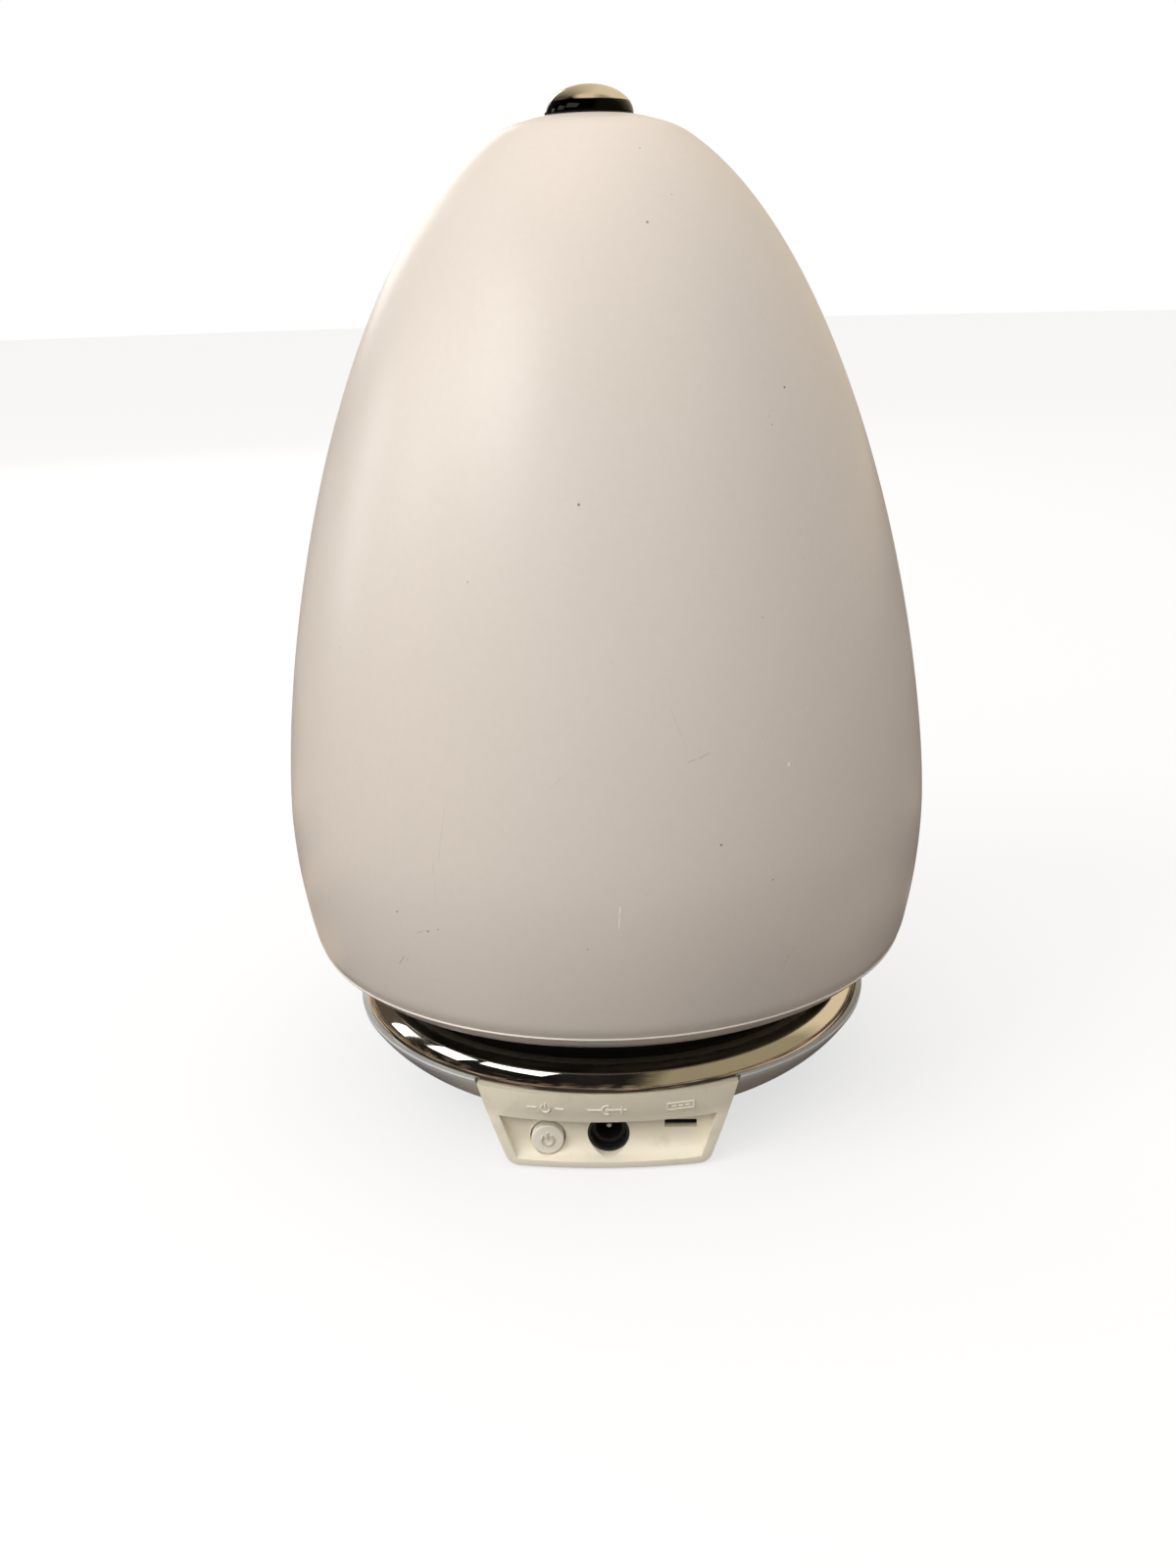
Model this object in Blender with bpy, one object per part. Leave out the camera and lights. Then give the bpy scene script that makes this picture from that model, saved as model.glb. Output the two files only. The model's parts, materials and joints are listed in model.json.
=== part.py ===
"""Cool mist humidifier: an egg-shaped water tank that lifts off a round, chrome-rimmed base.

Every size below is in millimetres, and new_object turns them into metres.
The ground is z = 0, the axis of the egg is the Z axis, and the connector panel faces -Y.
"""
import math

import bmesh
import bpy
from mathutils import Matrix

MM = 0.001
GAP = 0.3                  # clearance between pieces that touch

# Driving sizes of the outside
RIM_R = 65.0               # outer radius of the base at its rim
RIM_Z = 20.0               # height of the rim
EGG_R = 78.2               # largest radius of the egg
EGG_EQUATOR_Z = 72.0       # height of that radius
EGG_PEAK_Z = 231.08        # where the body's curve would close without the crown
CROWN_Z = 229.45           # the crown is a flatter bowl upside down
CROWN_FALL = 0.0093        # its fall per square of the radius
CAP_SEAT_Z = 228.5         # small flat under the mist cap
EGG_WALL = 2.4
CAP_R = 9.9                # mist cap at the top
CAP_TOP_Z = 235.0

# Base
BOWL_CENTRE = (37.8, 36.2)       # centre of the arc that the bowl's side follows (r, z)
BOWL_ARC_R = 31.6
BOWL_WALL = 2.2
PLATE_R = 36.2                   # removable bottom plate
PLATE_Z = (2.6, 4.6)
FLANGE_Z = (PLATE_Z[1] + GAP, 6.9)
FLANGE_R = 29.0
FOOT_RADIUS = 30.0               # circle that the rubber feet stand on
FOOT_R = 4.6
PLATE_SCREW_RADIUS = 32.8
PLATE_SCREW_ANGLES = (25, 115, 205, 295)
CASE_SCREW_RADIUS = 43.6
CASE_SCREW_ANGLES = (90, 210, 330)
CLAMP_SCREW_RADIUS = 15.5
CLAMP_SCREW_ANGLES = (145, 325)
CHROME_CENTRE = (57.2, 19.9)     # centre of the bead's quarter circle (r, z)
CHROME_ARC_R = 6.65
CHROME_WALL = 1.75
SEAT_TOP_Z = 32.7                # the tank rests here

# Connector panel
PANEL_HALF_TOP = 30.2            # half width at the rim
PANEL_HALF_LOW = 23.4            # half width at the lower lip
PANEL_Z = (0.6, 19.9)
PANEL_LIP_FRONT = 62.7           # how far forward the lower lip reaches
PANEL_LIP_BEND = 130.0           # radius of the front at the lip, flatter than at the rim
PANEL_REAR_Y = -46.0
PANEL_WALL_Y = -58.5             # front of the wall that holds the button and sockets
PANEL_WALL_BACK_Y = -56.5
LABEL_STRIP_Z = 13.2             # underside of the overhanging strip
BUTTON_XZ = (-14.0, 6.6)
BUTTON_R = 3.75
BUTTON_HOLE_R = 4.1
JACK_XZ = (0.0, 7.2)
JACK_HOLE_R = 4.85
SOCKET_XZ = (16.6, 9.5)
SOCKET_HALF = (3.7, 1.05)
BOARD_Y = (-47.9, -46.5)         # small board behind the panel

# Water side
BASIN_R = 48.2                   # outer radius of the tower that holds the water basin
BASIN_WALL = 2.0
BASIN_TOP_Z = 50.0
BASIN_FLOOR_Z = (32.0, 34.0)
TANK_FLOOR_Z = (52.0, 54.2)      # raised middle of the tank's floor
TANK_FLOOR_R = (48.8, 51.0)      # wall around the tower
SHELL_LIP_R = 60.0
CHIMNEY_R = (9.2, 10.6)
CHIMNEY_Z = (43.5, 221.2)
NECK_XY = (-28.0, 0.0)           # fill neck, its cap and its valve
NECK_R = (10.5, 12.5)
FAN_XY = (17.0, 20.0)
FAN_Z = (9.0, 16.5)
FAN_HALF = 12.5
FLOAT_XY = (20.0, -24.0)
BOARD_Z = (9.0, 10.6)            # main circuit board
BOARD_SCREWS = ((-25.0, -33.0), (25.0, -33.0))

FINE = 32                        # sides of the large turned pieces
MEDIUM = 20
SMALL = 12
TINY = 8                         # screws, pins and their holes


def clear_scene():
    for obj in list(bpy.data.objects):
        bpy.data.objects.remove(obj, do_unlink=True)


def material(name, colour, roughness, metallic=0.0):
    """Principled material, made once for each name."""
    found = bpy.data.materials.get(name)
    if found:
        return found
    made = bpy.data.materials.new(name)
    made.use_nodes = True
    shader = made.node_tree.nodes["Principled BSDF"]
    shader.inputs["Base Color"].default_value = (*colour, 1.0)
    shader.inputs["Roughness"].default_value = roughness
    shader.inputs["Metallic"].default_value = metallic
    return made


def ivory():
    return material("ivory_gloss", (0.78, 0.74, 0.69), 0.25)


def panel_ivory():
    return material("panel_ivory", (0.75, 0.71, 0.62), 0.4)


def silver():
    return material("silver_paint", (0.42, 0.43, 0.45), 0.4, 0.3)


def chrome():
    return material("chrome", (0.80, 0.76, 0.68), 0.06, 1.0)


def black():
    return material("black_plastic", (0.012, 0.012, 0.012), 0.45)


def inner_plastic():
    return material("inner_plastic", (0.62, 0.64, 0.65), 0.4)


def rubber():
    return material("rubber", (0.03, 0.03, 0.032), 0.8)


def silicone():
    return material("silicone", (0.72, 0.72, 0.70), 0.6)


def steel():
    return material("steel", (0.55, 0.55, 0.56), 0.3, 1.0)


def brass():
    return material("brass", (0.72, 0.52, 0.22), 0.3, 1.0)


def board_green():
    return material("board_green", (0.02, 0.16, 0.07), 0.45)


def aluminium():
    return material("aluminium", (0.62, 0.63, 0.65), 0.35, 1.0)


def polar(radius, angle):
    """X and Y of a point at an angle in degrees from +X."""
    turn = math.radians(angle)
    return radius * math.cos(turn), radius * math.sin(turn)


def arc(centre, radius, start, end, steps):
    """Points of an arc from one angle to another, both in degrees."""
    points = []
    for step in range(steps + 1):
        x, y = polar(radius, start + (end - start) * step / steps)
        points.append((centre[0] + x, centre[1] + y))
    return points


def add_lathe(bm, profile, segments=SMALL, at=(0.0, 0.0)):
    """Turn a closed (r, z) outline about a vertical axis. Points with r = 0 become poles."""
    rings = []
    for radius, height in profile:
        if radius < 1e-6:
            rings.append([bm.verts.new((at[0], at[1], height))] * segments)
            continue
        ring = []
        for side in range(segments):
            x, y = polar(radius, 360.0 * side / segments)
            ring.append(bm.verts.new((at[0] + x, at[1] + y, height)))
        rings.append(ring)
    for index, ring in enumerate(rings):
        following = rings[(index + 1) % len(rings)]
        for side in range(segments):
            turn = (side + 1) % segments
            corners = [ring[side], ring[turn], following[turn], following[side]]
            corners = list(dict.fromkeys(corners))
            if len(corners) > 2:
                bm.faces.new(corners)


def add_cylinder(bm, radius, low, high, at=(0.0, 0.0), segments=SMALL):
    add_lathe(bm, [(0, low), (radius, low), (radius, high), (0, high)], segments, at)


def add_prism(bm, base, top):
    """Solid between two matching outlines of points in space."""
    lower = [bm.verts.new(point) for point in base]
    upper = [bm.verts.new(point) for point in top]
    bm.faces.new(lower)
    bm.faces.new(upper)
    for index in range(len(lower)):
        following = (index + 1) % len(lower)
        bm.faces.new((lower[index], lower[following], upper[following], upper[index]))


def add_extrusion(bm, outline, low, high):
    """Extrude an (x, y) outline from one height to another."""
    add_prism(bm, [(x, y, low) for x, y in outline], [(x, y, high) for x, y in outline])


def add_box(bm, low, high):
    corners = [(low[0], low[1]), (high[0], low[1]), (high[0], high[1]), (low[0], high[1])]
    add_extrusion(bm, corners, low[2], high[2])


def circle(radius, steps):
    return [polar(radius, 360.0 * step / steps) for step in range(steps)]


def add_across_panel(bm, outline, shrink):
    """Extrude a (y, z) outline along X to the panel's slanted sides, less shrink on each side."""
    left = [(shrink - panel_half_width(z), y, z) for y, z in outline]
    right = [(panel_half_width(z) - shrink, y, z) for y, z in outline]
    add_prism(bm, left, right)


def panel_half_width(z):
    share = (z - PANEL_Z[0]) / (RIM_Z - PANEL_Z[0])
    return PANEL_HALF_LOW + (PANEL_HALF_TOP - PANEL_HALF_LOW) * share


def new_object(name, bm, finish=None, origin=(0.0, 0.0, 0.0)):
    """Turn a bmesh in millimetres into an object whose origin is at the given point."""
    bmesh.ops.recalc_face_normals(bm, faces=bm.faces)
    mesh = bpy.data.meshes.new(name)
    bm.to_mesh(mesh)
    bm.free()
    mesh.transform(Matrix.Scale(MM, 4) @ Matrix.Translation([-value for value in origin]))
    obj = bpy.data.objects.new(name, mesh)
    obj.location = [value * MM for value in origin]
    bpy.context.scene.collection.objects.link(obj)
    if finish:
        mesh.materials.append(finish)
        mesh.shade_smooth()
        mesh.set_sharp_from_angle(angle=math.radians(35))
    return obj


def turned(name, profile, finish, segments=SMALL, at=(0.0, 0.0), origin_z=0.0):
    bm = bmesh.new()
    add_lathe(bm, profile, segments, at)
    return new_object(name, bm, finish, (at[0], at[1], origin_z))


def boolean(target, operation, bm):
    """Add, cut or intersect the target with the shapes of a bmesh."""
    tool = new_object(target.name + "_" + operation.lower(), bm)
    tool.hide_render = True
    tool.display_type = "WIRE"
    modifier = target.modifiers.new(operation.lower(), "BOOLEAN")
    modifier.operation = operation
    modifier.solver = "EXACT"
    modifier.object = tool


def face_forward(obj, x, y, z):
    """Stand a piece turned about Z on its side, so that its top faces -Y."""
    obj.rotation_euler = (math.radians(90), 0.0, 0.0)
    obj.location = (x * MM, y * MM, z * MM)


def forward_profile(points, y_origin):
    """Turn (r, y) points into the (r, z) outline of a piece that face_forward lays down."""
    return [(radius, y_origin - y) for radius, y in points]


def wire(name, points, radius, finish, sides=1):
    """Round wire along points in millimetres."""
    curve = bpy.data.curves.new(name, "CURVE")
    curve.dimensions = "3D"
    curve.bevel_depth = radius * MM
    curve.bevel_resolution = sides
    curve.use_fill_caps = True
    curve.render_resolution_u = 0
    spline = curve.splines.new("POLY")
    spline.points.add(len(points) - 1)
    for point, place in zip(spline.points, points):
        point.co = (place[0] * MM, place[1] * MM, place[2] * MM, 1.0)
    curve.materials.append(finish)
    obj = bpy.data.objects.new(name, curve)
    bpy.context.scene.collection.objects.link(obj)
    return obj


def smooth_path(points, steps=5):
    """Catmull-Rom curve through a few chosen points."""
    path = []
    padded = [points[0]] + list(points) + [points[-1]]
    for index in range(len(points) - 1):
        a, b, c, d = padded[index:index + 4]
        for step in range(steps):
            t = step / steps
            place = []
            for p, q, r, s in zip(a, b, c, d):
                curved = (2 * p - 5 * q + 4 * r - s) * t * t + (3 * q - p - 3 * r + s) * t ** 3
                place.append(0.5 * (2 * q + (r - p) * t + curved))
            path.append(tuple(place))
    path.append(tuple(points[-1]))
    return path


def screw(name, at, head_r, head_z, shank_r, shank_end_z, finish):
    """Screw whose head spans head_z and whose shank runs from the head to shank_end_z."""
    upward = shank_end_z > head_z[1]
    joint_z = head_z[1] if upward else head_z[0]
    far_z = head_z[0] if upward else head_z[1]
    profile = [(0, far_z), (head_r, far_z), (head_r, joint_z), (shank_r, joint_z)]
    profile += [(shank_r, shank_end_z), (0, shank_end_z)]
    return turned(name, profile, finish, TINY, at)


def egg_radius(z):
    """Superellipse above the equator and a shallow curve below it."""
    if z >= EGG_EQUATOR_Z:
        share = (z - EGG_EQUATOR_Z) / (EGG_PEAK_Z - EGG_EQUATOR_Z)
        return EGG_R * (1.0 - share ** 1.577) ** (1 / 2.168)
    return EGG_R - 0.0037 * (EGG_EQUATOR_Z - z) ** 2


def egg_height(radius):
    """Height of the egg's upper surface at a radius."""
    share = (1.0 - (radius / EGG_R) ** 2.168) ** (1 / 1.577)
    body = EGG_EQUATOR_Z + (EGG_PEAK_Z - EGG_EQUATOR_Z) * share
    return min(body, CROWN_Z - CROWN_FALL * radius ** 2, CAP_SEAT_Z)


def egg_outline(inset, hole_r):
    """Egg from the hole at its top down to the lip under its rounded lower corner."""
    points = [(hole_r, egg_height(hole_r))]
    for radius in (10.2, 15.0, 20.4, 29.0, 39.0):
        points.append((radius, egg_height(radius)))
    for z in (194.0, 174.0, 150.0, 124.0, 98.0, EGG_EQUATOR_Z, 56.0):
        points.append((egg_radius(z), z))
    points += arc((63.26, 45.06), 12.0, -12.0, -90.0, 4)
    points.append((SHELL_LIP_R, 33.06))
    if not inset:
        return points
    moved = []
    for index, (radius, z) in enumerate(points):
        before = points[max(index - 1, 0)]
        after = points[min(index + 1, len(points) - 1)]
        dr, dz = after[0] - before[0], after[1] - before[1]
        length = math.hypot(dr, dz)
        moved.append((radius + inset * dz / length, z - inset * dr / length))
    moved[0] = (hole_r, moved[0][1])
    moved[-1] = (SHELL_LIP_R, moved[-1][1])
    return moved


# ---------------------------------------------------------------- base, fixed pieces

def bowl_profile():
    outer = arc(BOWL_CENTRE, BOWL_ARC_R, -30.8, -84.0, 6)
    inner = arc(BOWL_CENTRE, BOWL_ARC_R - BOWL_WALL, -84.0, -33.5, 5)
    inner[-1] = (inner[-1][0], RIM_Z)
    foot_ring = [(40.0, 4.7), (39.6, 2.0), (PLATE_R + 0.4, 2.0), (PLATE_R + 0.4, FLANGE_Z[0])]
    flange = [(FLANGE_R, FLANGE_Z[0]), (FLANGE_R, FLANGE_Z[1])]
    return outer + foot_ring + flange + inner


def base_bowl():
    bowl = turned("base_bowl", bowl_profile(), silver(), FINE)
    posts = bmesh.new()
    for angle in CASE_SCREW_ANGLES:
        add_cylinder(posts, 3.6, 6.4, 20.7, polar(CASE_SCREW_RADIUS, angle))
    for place in BOARD_SCREWS:
        add_cylinder(posts, 2.8, 6.3, BOARD_Z[0] - GAP, place)
    boolean(bowl, "UNION", posts)
    holes = bmesh.new()
    add_across_panel(holes, [(-70, -2), (PANEL_REAR_Y + GAP, -2), (PANEL_REAR_Y + GAP, 22), (-70, 22)], -0.4)
    for angle in CASE_SCREW_ANGLES:
        stepped = [(0, 3), (2.8, 3), (2.8, 7.5), (1.5, 7.5), (1.5, 22), (0, 22)]
        add_lathe(holes, stepped, SMALL, polar(CASE_SCREW_RADIUS, angle))
    for place in BOARD_SCREWS:
        add_cylinder(holes, 1.4, 5.8, 10.0, place, TINY)
    for angle in PLATE_SCREW_ANGLES:
        add_cylinder(holes, 1.4, 4.0, 8.0, polar(PLATE_SCREW_RADIUS, angle), TINY)
    boolean(bowl, "DIFFERENCE", holes)


def bottom_plate():
    low, high = PLATE_Z
    plate = turned("bottom_plate", [(0, low), (PLATE_R, low), (PLATE_R, high), (0, high)], silver(), FINE)
    holes = bmesh.new()
    for row in range(5):
        y = FAN_XY[1] - 8.0 + 4.0 * row
        add_box(holes, (FAN_XY[0] - 8.5, y - 1.0, low - 1), (FAN_XY[0] + 8.5, y + 1.0, high + 1))
    for angle in PLATE_SCREW_ANGLES:
        add_cylinder(holes, 1.6, low - 1, high + 1, polar(PLATE_SCREW_RADIUS, angle), TINY)
    boolean(plate, "DIFFERENCE", holes)


def feet_and_plate_screws():
    for index in range(4):
        foot_top = PLATE_Z[0] - GAP
        profile = [(0, 0), (FOOT_R - 0.4, 0), (FOOT_R, 0.5), (FOOT_R, foot_top), (0, foot_top)]
        turned(f"rubber_foot_{index + 1}", profile, rubber(), SMALL, polar(FOOT_RADIUS, 90 * index))
        place = polar(PLATE_SCREW_RADIUS, PLATE_SCREW_ANGLES[index])
        screw(f"plate_screw_{index + 1}", place, 2.3, (1.2, foot_top), 1.1, 6.6, steel())


def case_screws():
    for index, angle in enumerate(CASE_SCREW_ANGLES):
        place = polar(CASE_SCREW_RADIUS, angle)
        screw(f"case_screw_{index + 1}", place, 2.3, (6.0, 7.2), 1.1, 25.4, steel())


def chrome_ring():
    outer = arc(CHROME_CENTRE, CHROME_ARC_R, 3.5, 92.0, 6)
    inner = arc(CHROME_CENTRE, CHROME_ARC_R - CHROME_WALL, 90.0, 4.7, 3)
    turned("chrome_ring", outer + inner, chrome(), FINE)


def seat_collar():
    """Black ring inside the chrome, with the upright wall that the tank rests on."""
    profile = [(51.6, 20.3), (60.6, 20.3), (60.6, 21.6), (56.4, 21.6), (56.4, 24.6), (54.0, 22.9)]
    profile += [(54.0, SEAT_TOP_Z), (51.6, SEAT_TOP_Z)]
    turned("seat_collar", profile, black(), FINE)


def connector_panel():
    """Trapezoid leg under the rim: label strip, undercut recess and the wall for the sockets."""
    low, high = PANEL_Z
    corner = 3.0
    side = [(-panel_half_width(high), high), (-panel_half_width(low + corner), low + corner)]
    side += [(-PANEL_HALF_LOW - 0.25, low + 1.3), (-PANEL_HALF_LOW + 1.2, low + 0.25)]
    side += [(-PANEL_HALF_LOW + corner, low)]
    outline = side + [(-x, z) for x, z in reversed(side)]
    bm = bmesh.new()
    add_prism(bm, [(x, -72.0, z) for x, z in outline], [(x, PANEL_REAR_Y, z) for x, z in outline])
    panel = new_object("connector_panel", bm, panel_ivory())
    front = bmesh.new()
    centre_y = PANEL_LIP_BEND - PANEL_LIP_FRONT
    lower = [(x, centre_y + y, low - 1) for x, y in circle(PANEL_LIP_BEND, 120)]
    upper = [(x, y, high + 1) for x, y in circle(RIM_R, 120)]
    add_prism(front, lower, upper)
    boolean(panel, "INTERSECT", front)
    recess = bmesh.new()
    scoop = arc((PANEL_WALL_Y - 4.0, 6.2), 4.0, 0.0, -80.0, 5)
    opening = [(-75, LABEL_STRIP_Z), (PANEL_WALL_Y, LABEL_STRIP_Z)] + scoop + [(-75, 2.0)]
    add_across_panel(recess, opening, 2.8)
    boolean(panel, "DIFFERENCE", recess)
    pocket = bmesh.new()
    hollow = [(PANEL_WALL_BACK_Y, 1.6), (PANEL_WALL_BACK_Y, 18.2), (-40, 18.2), (-40, 6.2)]
    add_across_panel(pocket, hollow + [(PANEL_REAR_Y - 2.0, 6.2), (PANEL_REAR_Y - 2.0, 1.6)], 2.4)
    boolean(panel, "DIFFERENCE", pocket)
    panel_holes(panel)


def panel_holes(panel):
    """Openings for the button, the jack and the narrow socket."""
    holes = bmesh.new()
    for (x, z), radius in ((BUTTON_XZ, BUTTON_HOLE_R), (JACK_XZ, JACK_HOLE_R)):
        ring = [(x + px, z + pz) for px, pz in circle(radius, 24)]
        add_prism(holes, [(px, -64.0, pz) for px, pz in ring], [(px, -55.0, pz) for px, pz in ring])
    x, z = SOCKET_XZ
    half_x, half_z = SOCKET_HALF
    add_box(holes, (x - half_x, -64.0, z - half_z), (x + half_x, -55.0, z + half_z))
    boolean(panel, "DIFFERENCE", holes)


def dc_jack():
    """Barrel jack: a round body with a hollow for the plug and a separate centre pin."""
    front, floor, back = PANEL_WALL_BACK_Y + GAP, -50.5, PANEL_REAR_Y - 2.0 - GAP
    body = [(0, back), (4.3, back), (4.3, front), (3.0, front), (3.0, floor), (0, floor)]
    jack = turned("dc_jack", forward_profile(body, 0.0), black(), 18)
    face_forward(jack, JACK_XZ[0], 0.0, JACK_XZ[1])
    pin = [(0, floor - GAP), (1.0, floor - GAP), (1.0, front + 1.6), (0.6, front + 1.0), (0, front + 1.0)]
    stud = turned("jack_pin", forward_profile(pin, 0.0), steel(), 12)
    face_forward(stud, JACK_XZ[0], 0.0, JACK_XZ[1])


def service_socket():
    """Narrow socket behind the slot."""
    x, z = SOCKET_XZ
    bm = bmesh.new()
    add_box(bm, (x - 4.3, PANEL_WALL_BACK_Y + GAP, z - 1.7), (x + 4.3, PANEL_REAR_Y - 2.0 - GAP, z + 1.7))
    socket = new_object("service_socket", bm, steel())
    mouth = bmesh.new()
    add_box(mouth, (x - 3.5, -60.0, z - 0.9), (x + 3.5, -51.0, z + 0.9))
    boolean(socket, "DIFFERENCE", mouth)


def tact_switch():
    x, z = BUTTON_XZ
    bm = bmesh.new()
    add_box(bm, (x - 3.0, -50.9, z - 3.0), (x + 3.0, PANEL_REAR_Y - 2.0 - GAP, z + 3.0))
    switch = new_object("tact_switch", bm, black())
    nub = bmesh.new()
    ring = [(x + px, z + pz) for px, pz in circle(1.6, 12)]
    add_prism(nub, [(px, -51.6, pz) for px, pz in ring], [(px, -50.0, pz) for px, pz in ring])
    boolean(switch, "UNION", nub)


def panel_board():
    bm = bmesh.new()
    add_box(bm, (-22.0, BOARD_Y[0], 6.6), (22.0, BOARD_Y[1], 16.8))
    new_object("panel_board", bm, board_green())


def main_board():
    bm = bmesh.new()
    outline = [(-29, -6), (-29, -26), (-22, -38), (22, -38), (29, -26), (29, -6)]
    add_extrusion(bm, outline, *BOARD_Z)
    board = new_object("main_board", bm, board_green())
    holes = bmesh.new()
    for place in BOARD_SCREWS:
        add_cylinder(holes, 1.5, BOARD_Z[0] - 1, BOARD_Z[1] + 1, place, TINY)
    boolean(board, "DIFFERENCE", holes)
    for index, place in enumerate(BOARD_SCREWS):
        top = BOARD_Z[1] + GAP
        screw(f"board_screw_{index + 1}", place, 2.2, (top, top + 1.2), 1.1, 6.1, steel())


def board_components():
    floor = BOARD_Z[1] + GAP
    bm = bmesh.new()
    add_box(bm, (-27.0, -21.0, floor), (-11.0, -11.0, 22.5))
    sink = new_object("heat_sink", bm, aluminium())
    slots = bmesh.new()
    for index in range(4):
        x = -24.6 + 3.2 * index
        add_box(slots, (x, -18.0, floor + 2.0), (x + 1.7, -10.0, 24.0))
    boolean(sink, "DIFFERENCE", slots)
    bm = bmesh.new()
    add_box(bm, (-23.0, -25.0, floor), (-15.0, -21.0 - GAP, 21.5))
    new_object("power_transistor", bm, black())
    bm = bmesh.new()
    add_box(bm, (15.0, -20.0, floor), (24.0, -12.0, floor + 1.8))
    new_object("controller_chip", bm, black())
    can = [(0, floor), (3.9, floor), (3.9, 21.0), (3.5, 21.4), (0, 21.4)]
    turned("capacitor", can, aluminium(), SMALL, (12.0, -31.0))
    coil = arc((5.6, floor + 2.6), 2.5, 0, 315, 7)
    turned("inductor", coil, brass(), SMALL, (2.0, -16.5))


def fan_housing():
    x, y = FAN_XY
    low, high = FAN_Z
    bm = bmesh.new()
    add_box(bm, (x - FAN_HALF, y - FAN_HALF, low), (x + FAN_HALF, y + FAN_HALF, high))
    housing = new_object("fan_housing", bm, black())
    bore = bmesh.new()
    outline = [(5.2, low - 1), (11.6, low - 1), (11.6, high + 1)]
    outline += [(0, high + 1), (0, low + 1.2), (5.2, low + 1.2)]
    add_lathe(bore, outline, MEDIUM, FAN_XY)
    boolean(housing, "DIFFERENCE", bore)
    spokes = bmesh.new()
    for index in range(3):
        inner = polar(4.6, 90 + 120 * index)
        outer = polar(12.0, 90 + 120 * index)
        across = polar(0.9, 180 + 120 * index)
        outline = [(x + inner[0] + across[0], y + inner[1] + across[1]),
                   (x + outer[0] + across[0], y + outer[1] + across[1]),
                   (x + outer[0] - across[0], y + outer[1] - across[1]),
                   (x + inner[0] - across[0], y + inner[1] - across[1])]
        add_extrusion(spokes, outline, low + 0.1, low + 1.1)
    boolean(housing, "UNION", spokes)
    bearing = bmesh.new()
    add_cylinder(bearing, 1.1, low - 1, low + 3, FAN_XY, 16)
    boolean(housing, "DIFFERENCE", bearing)


def fan_rotor():
    """Hub with seven blades and a short shaft that turns in the housing."""
    x, y = FAN_XY
    low, high = FAN_Z[0] + 1.5, FAN_Z[1] - 0.8
    outline = []
    for blade in range(7):
        angle = 360.0 * blade / 7
        for radius, offset in ((5.6, -7.0), (11.0, 2.0), (11.0, 10.0), (5.6, 9.0), (5.6, 30.0)):
            px, py = polar(radius, angle + offset)
            outline.append((x + px, y + py))
    bm = bmesh.new()
    add_extrusion(bm, outline, low, high)
    rotor = new_object("fan_rotor", bm, black(), (x, y, 0.0))
    shaft = bmesh.new()
    add_cylinder(shaft, 0.8, FAN_Z[0] + 0.2, low + 1, FAN_XY, 12)
    boolean(rotor, "UNION", shaft)


def air_duct():
    """Soft adaptor from the fan up to the air pipe in the basin."""
    low, high = FAN_Z[1] + GAP, BASIN_FLOOR_Z[0] - GAP
    profile = [(10.8, low), (12.2, low), (12.2, low + 2), (9.0, high - 4), (9.0, high)]
    profile += [(7.8, high), (7.8, high - 4.4), (10.8, low + 2)]
    turned("air_duct", profile, rubber(), MEDIUM, FAN_XY)


def basin_profile():
    """Tower wall, basin floor, and the well that holds the transducer."""
    low, high = BASIN_FLOOR_Z
    inner = BASIN_R - BASIN_WALL
    profile = [(inner, BASIN_TOP_Z), (BASIN_R, BASIN_TOP_Z), (BASIN_R, 21.0), (inner, 21.0), (inner, low)]
    profile += [(13.0, low), (13.0, 26.0), (10.6, 26.0), (10.6, 29.8), (7.8, 29.8), (7.8, 31.0)]
    profile += [(9.6, 31.0), (12.0, high), (inner, high)]
    return profile


def water_basin():
    floor_low, floor_high = BASIN_FLOOR_Z
    basin = turned("water_basin", basin_profile(), inner_plastic(), FINE)
    added = bmesh.new()
    add_cylinder(added, 8.0, floor_low + 0.5, 47.5, FAN_XY, 24)
    stem = [(0, floor_high - 1), (3.0, floor_high - 1), (3.0, 46.0), (2.0, 46.0), (2.0, 48.0), (0, 48.0)]
    add_lathe(added, stem, SMALL, FLOAT_XY)
    add_cylinder(added, 2.0, floor_high - 1, 40.9, NECK_XY, 16)
    for angle in CASE_SCREW_ANGLES:
        add_cylinder(added, 3.4, 21.0, 27.0, polar(CASE_SCREW_RADIUS, angle))
    for angle in CLAMP_SCREW_ANGLES:
        add_cylinder(added, 2.6, 26.0, floor_low + 1, polar(CLAMP_SCREW_RADIUS, angle), 16)
    boolean(basin, "UNION", added)
    holes = bmesh.new()
    add_cylinder(holes, 6.6, 30.0, 50.0, FAN_XY, 24)
    add_cylinder(holes, 1.5, 30.0, 41.0, FLOAT_XY, 16)
    for angle in CASE_SCREW_ANGLES:
        add_cylinder(holes, 1.4, 20.0, 26.0, polar(CASE_SCREW_RADIUS, angle), TINY)
    for angle in CLAMP_SCREW_ANGLES:
        add_cylinder(holes, 1.3, 25.0, 31.0, polar(CLAMP_SCREW_RADIUS, angle), TINY)
    boolean(basin, "DIFFERENCE", holes)


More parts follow.
